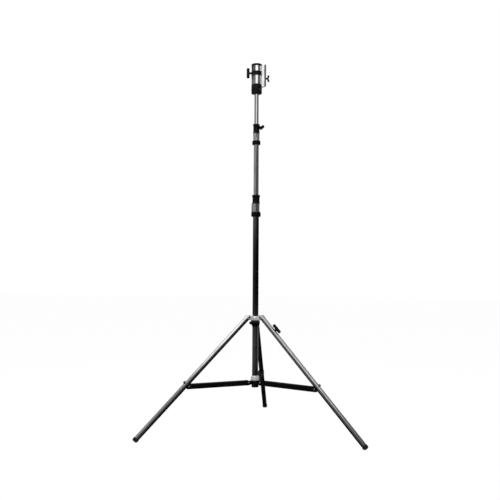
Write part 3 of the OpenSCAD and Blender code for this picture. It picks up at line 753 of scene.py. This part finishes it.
@dataclass
class TurnedRing:
    """A ring or collar turned from one outline.

    Attributes:
        node: The solid it replaces.
        bore: Radius of its bore in mm.
        corners: Outer corners (radius, share of its height, rounding), from the bottom up, in
            mm.
    """

    node: str
    bore: float
    corners: Sequence[Corner]

    def form(self) -> Form:
        """The ring's form, as tall as its solid."""
        low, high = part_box(self.node)
        tall = high[2] - low[2]
        outer = [(r * MM, low[2] + share * tall, soft * MM) for r, share, soft in self.corners]
        return Form.lathe(rounded([(self.bore * MM, low[2], 0.4 * MM), *outer,
                                   (self.bore * MM, high[2], 0.4 * MM)]))


@dataclass
class ClampCollar:
    """A waisted collar with a round boss for its lock screw.

    Attributes:
        node: The solid it replaces.
        lock: The prefix of its lock's names.
        bore: Radius of its bore in mm.
        lip: Radius of its upper lip in mm.
        waist: Radius of its waist in mm.
        boss: Radius of the boss in mm.
        screw: Radius of the screw's hole in mm.
    """

    node: str
    lock: str
    bore: float
    lip: float
    waist: float
    boss: float = 8.0
    screw: float = 4.1

    def form(self) -> Form:
        """The collar's form."""
        body = TurnedRing(self.node, self.bore, (
            (self.lip - 0.5, 0.0, 1.2), (self.lip - 0.5, 0.12, 1.5), (self.waist, 0.21, 2.5),
            (self.waist, 0.69, 3.0), (self.lip, 0.80, 2.0), (self.lip, 1.0, 2.2))).form()
        turn = joint(f"{self.lock}_handle_turn")
        out = Vector(turn["axis"])
        centre = Vector((0, 0, turn["pos_m"][2]))
        where = facing(centre, out, Vector((0, 0, 1))) @ ALONG_X
        seat = self.bore + 2.0
        boss = Form.rod(self.boss * MM, seat * MM, self.lip * MM, 1.0 * MM).moved(where)
        hole = Form.rod(self.screw * MM, 0.0, (self.lip + 5) * MM).moved(where)
        return body.combined(boss, Join.ADD).combined(hole, Join.CUT)


@dataclass
class Column(Assembly):
    """The base tube with its hub and collar, and the two risers."""

    def build(self) -> None:
        """Dress the column's solids and turn its rings, collars and dome."""
        black = Look.BLACK_CASTING.value
        for node, look in {
            "base_tube": Look.DARK_CHROME, "riser_1_tube": Look.RISER_CHROME,
            "riser_2_tube": Look.BRIGHT_CHROME, "hub_lock_ring": Look.BRIGHT_CHROME,
            "base_bottom_cap": Look.BLACK_PLASTIC, "brace_hub": Look.BLACK_CASTING,
            "hub_rivets": Look.SCREW_STEEL, "base_collar_sleeve": Look.CAST_SLEEVE,
            "riser_1_collar_sleeve": Look.CAST_SLEEVE, "riser_1_guide": Look.GUIDE_NYLON,
            "riser_2_guide": Look.GUIDE_NYLON,
        }.items():
            self.dress(node, look.value)
        rings = (
            TurnedRing("base_collar_ring", 17.5, ((27.75, 0.0, 5.0), (27.75, 1.0, 5.0))),
            TurnedRing("riser_1_collar_ring", 15.0, ((24.25, 0.0, 4.6), (24.25, 1.0, 4.6))),
        )
        for ring, body in zip(rings, ("base", "riser_1")):
            self.piece(f"{ring.node}_turned", ring.form(), body, black, [ring.node])
        collars = (
            ClampCollar("base_clamp_collar", "base", 15.1, 23.25, 20.75),
            ClampCollar("riser_1_clamp_collar", "riser_1", 12.6, 20.0, 18.25),
        )
        for collar, body in zip(collars, ("base", "riser_1")):
            self.piece(f"{collar.node}_moulded", collar.form(), body, black, [collar.node])
        dome = TurnedRing("hub_dome", 17.5, ((24.5, 0.0, 0.8), (24.5, 0.35, 6.0),
                                             (23.2, 0.72, 6.0), (19.6, 1.0, 2.5)))
        self.piece("hub_dome_turned", dome.form(), "base", Look.CAST_SILVER.value, ["hub_dome"])


@dataclass
class Head(Assembly):
    """The head: socket, chrome body, receivers, band and side block.

    Attributes:
        screw_radius: Radius of the set screws in mm.
        hex_radius: Corner radius of their hexagon sockets in mm.
    """

    screw_radius: float = 3.0
    hex_radius: float = 1.75
    screw_angle: float = 308.0
    screw_reach: float = 32.1

    def build(self) -> None:
        """Dress the head's solids and make its finer pieces."""
        for node, look in {
            "head_body": Look.PLATED_CASTING, "junior_sleeve": Look.RECEIVER_STEEL,
            "head_clamp_band": Look.BLACK_CASTING,
        }.items():
            self.dress(node, look.value)
        self.dress("baby_block", Look.CAST_BLOCK.value)
        ring = TurnedRing("head_top_ring", 18.5, ((31.3, 0.0, 1.6), (31.3, 1.0, 2.6)))
        self.piece("head_top_ring_turned", ring.form(), "riser_2", Look.BLACK_CASTING.value,
                   ["head_top_ring"])
        self.piece("head_socket_turned", self.socket(), "riser_2", Look.BLACK_CASTING.value,
                   ["head_socket"])
        self.piece("head_set_screws_turned", self.set_screws(), "riser_2",
                   Look.SCREW_STEEL.value, ["head_set_screws"])

    def screw_frames(self) -> list[Matrix]:
        """The two set screws' frames, with Z outwards along each screw."""
        low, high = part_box("head_set_screws")
        height = Vector((0, 0, (low[2] + high[2]) / 2))
        frames = []
        for side in (0, 180):
            angle = math.radians(self.screw_angle + side)
            out = Vector((math.cos(angle), math.sin(angle), 0))
            frames.append(facing(height, out, Vector((0, 0, 1))) @ ALONG_X)
        return frames

    def socket(self) -> Form:
        """The black socket with rounded shoulders and its two screw holes."""
        low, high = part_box("head_socket")
        bottom, floor = low[2], high[2]
        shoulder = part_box("head_body")[0][2]
        top_of_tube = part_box("riser_2_tube")[1][2]
        tube, spigot, outer = 12.5 * MM, 18.5 * MM, 31.3 * MM
        body = Form.lathe(rounded([
            (tube, bottom, 0.5 * MM), (outer, bottom, 4 * MM), (outer, shoulder, 7 * MM),
            (spigot, shoulder, 0), (spigot, floor, 0), (0, floor, 0), (0, top_of_tube, 0),
            (tube, top_of_tube, 0)], 7))
        for where in self.screw_frames():
            hole = Form.rod(self.screw_radius * MM, 12 * MM, 40 * MM).moved(where)
            body = body.combined(hole, Join.CUT)
        return body

    def set_screws(self) -> Form:
        """Both set screws, each with a hexagon socket."""
        both: Form | None = None
        for where in self.screw_frames():
            screw = Form.rod(self.screw_radius * MM, 11 * MM, self.screw_reach * MM, 0.4 * MM)
            key = Form.rod(self.hex_radius * MM, (self.screw_reach - 3) * MM,
                           (self.screw_reach + 2) * MM, 0.0, 6)
            screw = screw.combined(key, Join.CUT).moved(where)
            both = screw if both is None else both.combined(screw, Join.ADD)
        return both


@dataclass
class WingScrew(Assembly):
    """The wing screw that holds a spigot in the side block.

    Attributes:
        wing: Outline of one wing: (out, up, thickness) in mm from the hub's centre.
    """

    wing: Sequence[Triple] = ((4.6, 1.0, 5.6), (6.0, 5.0, 5.2), (7.2, 9.0, 5.0),
                              (8.0, 13.0, 5.2), (8.4, 17.0, 5.6), (8.6, 19.6, 4.0))
    widths: Sequence[float] = (12.0, 13.4, 14.4, 15.0, 15.0, 10.0)

    def build(self) -> None:
        """Dress the brass pad and make the cast wing screw."""
        self.dress("baby_lock_pad", Look.PAD_BRASS.value)
        turn = joint("baby_handle_turn")
        out = Vector(turn["axis"])
        origin = Vector(turn["pos_m"])
        where = facing(origin, out, Vector((0, 0, 1)))
        tip, end = extent("baby_wing_screw", origin, out)
        root = end - 10.0 * MM
        shank = Form.rod(4.0 * MM, tip, root, 0.3 * MM).moved(ALONG_X)
        hub = Form.lathe(rounded([
            (0, root - 5 * MM, 0), (5.2 * MM, root - 5 * MM, 1 * MM),
            (5.8 * MM, root + 2 * MM, 2 * MM), (4.6 * MM, root + 4 * MM, 1.5 * MM),
            (0, root + 4 * MM, 0)]), 48).moved(ALONG_X)
        form = shank.combined(hub, Join.ADD)
        for side in (1, -1):
            form = form.combined(self.one_wing(root, side), Join.ADD)
        self.piece("baby_wing_screw_cast", form.moved(where), "wing_screw",
                   Look.BLACK_CASTING.value, ["baby_wing_screw"], 50)

    def one_wing(self, root: float, side: int) -> Form:
        """One wing, lofted through oval sections.

        Args:
            root: Where the wings' root lies along the screw, in metres.
            side: 1 for the upper wing, -1 for the lower.

        Returns:
            The wing's form.
        """
        rings = []
        for (out, up, thick), width in zip(self.wing, self.widths):
            ring = []
            for step in range(24):
                angle = math.tau * step / 24
                ring.append(Vector((root + (out + width / 2 * math.cos(angle) * 0.8) * MM,
                                    thick / 2 * math.sin(angle) * MM, side * up * MM)))
            rings.append(ring)
        return Form.loft(rings)


class Lie(Enum):
    """How a T-handle's bar lies at rest."""

    UPRIGHT = "upright"
    LEVEL = "level"
    ALONG_LEG = "along leg"


@dataclass
class Lock(Assembly):
    """A clamp screw with its brass pad and T-handle.

    Attributes:
        prefix: Start of the names of its solids.
        turn: Name of the joint that turns it.
        body: The handle's body.
        lie: How its bar lies.
        roll: How far its bar leans from there, in degrees.
    """

    prefix: str = ""
    turn: str = ""
    body: str = ""
    lie: Lie = Lie.UPRIGHT
    roll: float = 0.0
    bar_radius: float = 8.75
    bar_length: float = 61.0
    grip_radius: float = 8.1
    neck_radius: float = 6.0

    def build(self) -> None:
        """Dress pad and screw and make the moulded T-handle."""
        self.dress(f"{self.prefix}_lock_pad", Look.PAD_BRASS.value)
        self.dress(f"{self.prefix}_lock_screw", Look.SCREW_STEEL.value)
        hinge = joint(self.turn)
        out, origin = Vector(hinge["axis"]), Vector(hinge["pos_m"])
        up = Vector((0, 0, 1))
        if self.lie is Lie.LEVEL:
            up = up.cross(out)
        elif self.lie is Lie.ALONG_LEG:
            up = Vector(joint("levelling_slide")["axis"])
        where = facing(origin, out, up) @ Matrix.Rotation(math.radians(self.roll), 4, "X")
        node = f"{self.prefix}_lock_handle"
        start = extent(node, origin, out)[0]
        self.piece(f"{node}_moulded", self.handle(start).moved(where), self.body,
                   Look.BLACK_PLASTIC.value, [node], 42)

    def handle(self, start: float) -> Form:
        """The handle about its bar's centre, with X outwards and the bar along Z.

        Args:
            start: Where the neck begins, along X from the bar's centre, in metres.

        Returns:
            The handle's form.
        """
        half = self.bar_length / 2
        ends = self.bar_radius
        grip = self.grip_radius
        profile: list[Corner] = [(0, -half, 0), (ends * 0.62, -half, 2.5), (ends, -half + 4, 3.5)]
        for rib in range(4):
            foot = -half + 10 + rib * 3.2
            profile += [(ends, foot, 0.5), (grip, foot + 0.6, 0.5), (grip, foot + 1.4, 0.5),
                        (ends, foot + 2.0, 0.5)]
        profile += [(ends, -half + 23.5, 1.5), (grip, -half + 25.5, 1.5)]
        mirrored = [(r, -z, soft) for r, z, soft in reversed(profile)]
        outline = rounded([(r * MM, z * MM, soft * MM) for r, z, soft in profile + mirrored], 3)
        bar = Form.lathe(outline, 64)
        neck_r = self.neck_radius * MM
        inside = -grip * 0.62 * MM
        step = min(2.2 * MM, (inside - start) * 0.3)
        neck = Form.lathe(rounded([
            (0, start, 0), (neck_r + 1 * MM, start, 0.6 * MM),
            (neck_r + 1 * MM, start + step, 0.8 * MM), (neck_r, start + 1.5 * step, 1 * MM),
            (neck_r, start + 2 * step, 2.5 * MM), (neck_r + 1.2 * MM, inside, 0),
            (0, inside, 0)]), 48).moved(ALONG_X)
        cap = Form.lathe(rounded([
            (0, 0, 0), (5.2 * MM, 0, 0), (5.2 * MM, (grip + 0.5) * MM, 0.5 * MM),
            (3.4 * MM, (grip + 0.5) * MM, 0.3 * MM), (3.0 * MM, (grip - 0.6) * MM, 0.3 * MM),
            (0, (grip - 0.6) * MM, 0)]), 48).moved(ALONG_X)
        return bar.combined(neck, Join.ADD).combined(cap, Join.ADD)


@dataclass
class LegCollar(Assembly):
    """The sliding collar that carries the leg tops.

    Attributes:
        bore: Radius of its bore in mm.
        sleeve: Radius of its black sleeve in mm.
        neck: Radius of the sleeve's lower neck in mm.
    """

    bore: float = 17.6
    sleeve: float = 25.0
    neck: float = 21.0

    def build(self) -> None:
        """Dress the casting and bolts and turn the black sleeve."""
        self.dress("leg_collar_casting", Look.CAST_SILVER.value)
        self.dress("leg_pivot_bolts", Look.SCREW_STEEL.value)
        sleeve = TurnedRing("leg_collar_sleeve", self.bore, (
            (self.neck, 0.0, 1.2), (self.neck, 0.2, 2.5), (self.sleeve, 0.33, 3.0),
            (self.sleeve, 1.0, 1.2)))
        hinge = joint("leg_collar_handle_turn")
        out = Vector(hinge["axis"])
        where = facing(Vector((0, 0, hinge["pos_m"][2])), out, Vector((0, 0, 1))) @ ALONG_X
        hole = Form.rod(4.1 * MM, 0.0, 40 * MM).moved(where)
        self.piece("leg_collar_sleeve_turned", sleeve.form().combined(hole, Join.CUT),
                   "leg_collar", Look.BLACK_CASTING.value, ["leg_collar_sleeve"])


@dataclass
class Leg(Assembly):
    """One leg with its bracket, foot cap and brace.

    Attributes:
        side: left, right or rear.
        foot_body: The body that the foot cap rides on.
        foot_bore: Radius of the tube inside the cap in mm.
    """

    side: str = "left"
    foot_body: str = ""
    foot_bore: float = 14.25
    pivot_radius: float = 47.0
    pivot_height: float = 652.0
    foot_radius: float = 699.0
    foot_height: float = 12.0
    cap_radius: float = 15.75
    cap_length: float = 8.0
    cap_end: float = 12.0
    tube_back: float = 1.0
    angle: float = 210.0

    def leg_frame(self) -> Matrix:
        """The leg's frame: Z down the leg from its pivot and X towards the brace."""
        tilt = math.atan2(self.foot_radius - self.pivot_radius,
                          self.pivot_height - self.foot_height)
        return (Matrix.Rotation(math.radians(self.angle), 4, "Z")
                @ Matrix.Translation(Vector((self.pivot_radius, 0, self.pivot_height)) * MM)
                @ Matrix.Rotation(math.pi - tilt, 4, "Y"))

    def length(self) -> float:
        """Length of the leg's axis from its pivot to the foot, in mm."""
        return math.hypot(self.foot_radius - self.pivot_radius,
                          self.pivot_height - self.foot_height)

    def build(self) -> None:
        """Dress the leg and its brace and make the rubber foot cap."""
        down = self.leg_frame().to_3x3() @ Vector((0, 0, 1))
        chrome = replace(Look.LEG_CHROME.value, axis=tuple(round(v, 5) for v in down))
        self.dress(f"leg_{self.side}_tube", chrome)
        self.dress(f"leg_{self.side}_bracket", Look.BLACK_CASTING.value)
        self.dress(f"leg_{self.side}_fasteners", Look.SCREW_STEEL.value)
        self.dress(f"brace_{self.side}", Look.BLACK_BRACE.value)
        if self.foot_body == "levelling_leg":
            self.dress("levelling_tube", chrome)
            self.piece("levelling_boss_weld", self.weld(), "leg_right", chrome)
        self.piece(f"foot_{self.side}_moulded", self.foot(), self.foot_body,
                   Look.FOOT_RUBBER.value, [f"foot_{self.side}"])

    def foot(self) -> Form:
        """The rubber cap: ringed by shallow grooves, round at its end, flat where it stands."""
        start = self.length() - self.cap_length
        end = self.length() + self.cap_end
        stop = self.length() - self.tube_back
        outer, bore = self.cap_radius, self.foot_bore
        corners: list[Corner] = [(bore, start, 0.4), (outer, start, 1.0)]
        for groove in range(2):
            at = start + 3.0 + groove * 3.6
            corners += [(outer, at, 0.4), (outer - 0.6, at + 0.6, 0.3),
                        (outer - 0.6, at + 1.2, 0.3), (outer, at + 1.8, 0.4)]
        corners += [(outer, end - 6.0, 4.0), (outer - 3.0, end - 1.8, 4.0), (outer - 8, end, 4.0),
                    (0, end, 0), (0, stop, 0), (bore, stop, 0.3)]
        outline = rounded([(r * MM, z * MM, soft * MM) for r, z, soft in corners], 4)
        return Form.lathe(outline, 80).moved(self.leg_frame()).flattened(0.0)

    def weld(self) -> Form:
        """The rippled weld bead where the levelling lock's boss meets the leg."""
        boss, tube, bead = 8.0, 14.25, 1.3
        centre = 115.0
        rings = []
        for step in range(120):
            turn = math.tau * step / 120
            y, z = boss * math.cos(turn), boss * math.sin(turn)
            foot = Vector((math.sqrt(tube ** 2 - y ** 2), y, z))
            outwards = Vector((0.35, math.cos(turn), math.sin(turn))).normalized()
            up = Vector((1, 0, 0))
            thick = bead * (1 + 0.10 * math.sin(turn * 22))
            ring = []
            for part in range(10):
                a = math.tau * part / 10
                ring.append((foot + outwards * thick * math.cos(a) * 0.9
                             + up * thick * math.sin(a) * 0.9) * MM)
            rings.append(ring)
        where = (self.leg_frame() @ Matrix.Translation((0, 0, centre * MM))
                 @ Matrix.Rotation(math.pi, 4, "Z"))
        return Form.hoop(rings).moved(where)


# Each belt holds the glowing greys of one band of the tent: painted reflections for the metal.
@dataclass(frozen=True)
class Belt:
    """A belt of the tent's wall, as the photograph's chrome shows it.

    Attributes:
        start: Height at which it begins to show, in metres.
        full: Height from which it shows fully, in metres.
        left: Its grey to the left of the camera.
        ahead: Its grey about the camera.
        right: Its grey to the right of the camera.
        behind_right: Its grey behind the stand, on the right.
        behind_left: Its grey behind the stand, on the left.
    """

    start: float
    full: float
    left: float
    ahead: float
    right: float
    behind_right: float
    behind_left: float


@dataclass
class Studio:
    """Pale floor, soft lamps, and a tent that the chrome reflects: a glowing sheet, seen only in reflections,
    whose greys are painted reflections of flags and windows.

    Attributes:
        floor_size: Width of the floor in metres.
        ambient: Strength of the light from all round.
        floor_glow: Share of the floor's white that no shadow reaches.
        tent_radius: Distance of the tent's wall from the stand in metres.
        tent_height: Height of its ceiling in metres.
        front: Direction in which the camera stands, in degrees.
        belts: The wall's belts from the floor up.
        lamps: Each lamp's place, width in metres and power in watts.
    """

    floor_size: float = 60.0
    ambient: float = 0.70
    floor_glow: float = 0.96
    tent_radius: float = 2.6
    tent_height: float = 4.6
    front: float = -84.4
    belts: Sequence[Belt] = (
        Belt(0.0, 0.1, 0.24, 0.16, 0.10, 0.40, 0.30),
        Belt(0.35, 0.6, 0.035, 0.02, 0.01, 0.01, 0.30),
        Belt(1.2, 1.4, 0.30, 0.22, 0.015, 0.02, 0.30),
        Belt(1.5, 1.65, 0.42, 0.11, 0.10, 0.26, 0.26),
        Belt(2.15, 2.35, 0.26, 1.05, 0.11, 0.24, 0.22),
        Belt(2.81, 2.86, 0.085, 1.7, 0.15, 1.35, 0.01),
        Belt(3.02, 3.2, 1.3, 0.8, 0.38, 0.42, 1.2),
        Belt(3.4, 3.6, 1.8, 1.0, 0.42, 0.45, 1.3))
    lamps: Sequence[tuple[Triple, float, float]] = (
        ((-2.2, -2.6, 3.6), 1.8, 80.0), ((2.6, -1.2, 3.2), 1.6, 34.0),
        ((-0.4, 3.0, 3.4), 2.0, 40.0))

    def seen(self, shader: Shader) -> Wire:
        """1 on rays that show the background: from the camera, in metal and through glass."""
        total: Wire | None = None
        for ray in ("Is Camera Ray", "Is Glossy Ray", "Is Transmission Ray"):
            flag = shader.add("ShaderNodeLightPath", result=ray)
            total = flag if total is None else total + flag
        return total

    def build(self) -> None:
        """Make the world, the floor, the lamps and the tent."""
        self.make_world()
        self.make_floor()
        for number, (spot, size, power) in enumerate(self.lamps):
            lamp = bpy.data.lights.new(f"lamp_{number}", "AREA")
            lamp.shape, lamp.size, lamp.energy = "DISK", size, power
            holder = bpy.data.objects.new(f"lamp_{number}", lamp)
            holder.location = spot
            aim = Vector((0, 0, 1.0)) - Vector(spot)
            holder.rotation_euler = aim.to_track_quat("-Z", "Y").to_euler()
            holder.visible_glossy = False
            bpy.context.scene.collection.objects.link(holder)
        self.make_tent()
        log.info("studio built with %d lamps and a tent", len(self.lamps))

    def make_world(self) -> None:
        """White where it is seen, softer where it lights."""
        world = bpy.data.worlds.new("studio")
        world.use_nodes = True
        bpy.context.scene.world = world
        shader = Shader.__new__(Shader)
        shader.tree = world.node_tree
        shader.tree.nodes.clear()
        seen = shader.add("ShaderNodeClamp", None, {"Value": self.seen(shader)})
        strength = seen * (1.0 - self.ambient) + self.ambient
        back = shader.tree.nodes.new("ShaderNodeBackground")
        shader.feed(back.inputs["Color"], (1.0, 1.0, 1.0, 1.0))
        shader.feed(back.inputs["Strength"], strength)
        output = shader.tree.nodes.new("ShaderNodeOutputWorld")
        shader.tree.links.new(back.outputs[0], output.inputs["Surface"])

    def make_floor(self) -> None:
        """A white floor that keeps the stand's soft shadow."""
        half = self.floor_size / 2
        corners = [Vector((x, y, 0)) for x, y in
                   ((-half, -half), (half, -half), (half, half), (-half, half))]
        mesh = bpy.data.meshes.new("floor")
        mesh.from_pydata([tuple(c) for c in corners], [], [(0, 1, 2, 3)])
        shader = Shader("floor")
        shader.paint({"Base Color": (0.9, 0.9, 0.9), "Roughness": 0.9,
                      "Specular IOR Level": 0.0})
        glow = shader.add("ShaderNodeEmission", None,
                          {"Color": (1.0, 1.0, 1.0, 1.0), "Strength": 1.0})
        share = shader.add("ShaderNodeClamp", None, {"Value": self.seen(shader)})
        mix = shader.add("ShaderNodeMixShader", None, {0: share * self.floor_glow, 2: glow})
        shader.tree.links.new(shader.surface.outputs[0], mix.socket.node.inputs[1])
        output = next(n for n in shader.tree.nodes if n.type == "OUTPUT_MATERIAL")
        shader.tree.links.new(mix.socket, output.inputs["Surface"])
        mesh.materials.append(shader.material)
        floor = bpy.data.objects.new("floor", mesh)
        bpy.context.scene.collection.objects.link(floor)

    def painted_reflection_tone(self, shader: Shader) -> Wire:
        """The tent's glowing grey at each place: the painted reflection that the metal shows."""
        front = math.radians(self.front)
        place = shader.place()
        ahead = self.along(shader, place, (math.cos(front), math.sin(front), 0.0))
        right = self.along(shader, place, (-math.sin(front), math.cos(front), 0.0))
        height = self.along(shader, place, (0.0, 0.0, 1.0))
        turn = right.maths("ARCTAN2", right, ahead) * math.degrees(1.0)
        sectors = (shader.band(turn, -38.0, -4.0), shader.band(turn, 8.0, 36.0),
                   shader.band(turn, 84.0, 100.0), 1.0 - shader.band(turn, -118.0, -92.0))
        wall: Wire | None = None
        for belt in self.belts:
            grey: Feed = belt.left
            for sector, next_grey in zip(sectors, (belt.ahead, belt.right, belt.behind_right,
                                                   belt.behind_left)):
                grey = grey + sector * (next_grey - grey)
            if wall is None:
                wall = grey
            else:
                wall = wall + shader.band(height, belt.start, belt.full) * (grey - wall)
        # Floor sheet: near-black, lighter far to the camera's left; painted shade that the undersides of legs
        # and braces reflect.
        floor = 0.005 + (1.0 - shader.band(right, -1.3, -0.3)) * 0.10
        return wall + (1.0 - shader.band(height, 0.01, 0.03)) * (floor - wall)

    def along(self, shader: Shader, place: Wire, axis: Triple) -> Wire:
        """How far a place lies along an axis, in metres."""
        return shader.add("ShaderNodeVectorMath", {"operation": "DOT_PRODUCT"},
                          {0: place, 1: axis}, "Value")

    def make_tent(self) -> None:
        """The tent: floor sheet, wall and ceiling, which show only in reflections; they glow with painted
        greys and light nothing, so they paint the metal's reflections.
        """
        sheet = 0.004
        tent = Form.lathe([(0.0, sheet), (self.tent_radius, sheet),
                           (self.tent_radius, self.tent_height), (0.0, self.tent_height)])
        tent.mesh.name = "tent"
        shader = Shader("tent")
        painted_reflection_tone = self.painted_reflection_tone(shader)
        grey = shader.add("ShaderNodeCombineColor", None, {"Red": painted_reflection_tone, "Green": painted_reflection_tone, "Blue": painted_reflection_tone})
        # The glowing grey is painted reflection: the tent is seen only in reflections and lights nothing.
        shader.paint({"Base Color": (0.0, 0.0, 0.0), "Roughness": 1.0, "Specular IOR Level": 0.0,
                      "Emission Color": grey, "Emission Strength": 1.0})
        tent.mesh.materials.append(shader.material)
        cover = bpy.data.objects.new("tent", tent.mesh)
        cover.visible_camera = cover.visible_diffuse = cover.visible_shadow = False
        cover.visible_transmission = cover.visible_volume_scatter = False
        bpy.context.scene.collection.objects.link(cover)


@dataclass(frozen=True)
class Viewpoint:
    """The camera of the photograph.

    Attributes:
        distance: From the column's axis along the floor, in metres.
        height: Above the floor, in metres.
        azimuth: Direction it stands in, degrees from the front.
        yaw: How far it looks to the left of the column, in degrees.
        pitch: How far it looks up, in degrees.
        roll: How far it leans to the left, in degrees.
        lens: Focal length in mm on a 36 mm sensor.
    """

    distance: float = 3.8333
    height: float = 0.8719
    azimuth: float = 5.563
    yaw: float = 0.502
    pitch: float = 2.556
    roll: float = 0.340
    lens: float = 47.29

    def build(self) -> None:
        """Make the camera and look through it."""
        stand, look = math.radians(self.azimuth), math.radians(self.azimuth + self.yaw)
        pitch, roll = math.radians(self.pitch), math.radians(self.roll)
        level = Vector((-math.sin(look), math.cos(look), 0))
        right = Vector((math.cos(look), math.sin(look), 0))
        ahead = level * math.cos(pitch) + Vector((0, 0, math.sin(pitch)))
        up = right.cross(ahead)
        x = right * math.cos(roll) + up * math.sin(roll)
        y = up * math.cos(roll) - right * math.sin(roll)
        lens = bpy.data.cameras.new("camera")
        lens.lens, lens.sensor_width = self.lens, 36.0
        lens.clip_end = 100.0
        camera = bpy.data.objects.new("camera", lens)
        where = Vector((math.sin(stand), -math.cos(stand), 0)) * self.distance
        where.z = self.height
        turn = Matrix((x, y, -ahead)).transposed().to_4x4()
        camera.matrix_world = Matrix.Translation(where) @ turn
        bpy.context.scene.collection.objects.link(camera)
        bpy.context.scene.camera = camera


def locks(shop: PaintShop) -> list[Lock]:
    """The five T-handle locks of the stand.

    Args:
        shop: Where their materials are made.

    Returns:
        The locks.
    """
    return [
        Lock(shop, "base", "base_handle_turn", "base_handle", Lie.UPRIGHT),
        Lock(shop, "riser_1", "riser_1_handle_turn", "riser_1_handle", Lie.LEVEL),
        Lock(shop, "head", "head_handle_turn", "head_handle", Lie.UPRIGHT, 5.0),
        Lock(shop, "leg_collar", "leg_collar_handle_turn", "leg_collar_handle", Lie.LEVEL),
        Lock(shop, "levelling", "levelling_handle_turn", "levelling_handle", Lie.ALONG_LEG),
    ]


def legs(shop: PaintShop) -> list[Leg]:
    """The stand's three legs.

    Args:
        shop: Where their materials are made.

    Returns:
        The legs.
    """
    return [
        Leg(shop, "rear", "leg_rear", angle=90.0),
        Leg(shop, "left", "leg_left", angle=210.0),
        Leg(shop, "right", "levelling_leg", foot_bore=12.65, angle=330.0),
    ]


def main() -> None:
    """Build the stand's looks in order."""
    logging.basicConfig(level=logging.INFO, format="%(name)s: %(message)s")
    bpy.context.scene.view_settings.view_transform = "Standard"
    Viewpoint().build()
    shop = PaintShop()
    assemblies: list[Assembly] = [Column(shop), Head(shop), WingScrew(shop), LegCollar(shop)]
    for assembly in (*assemblies, *locks(shop), *legs(shop)):
        assembly.build()
    Studio().build()


if __name__ == "__main__":
    main()
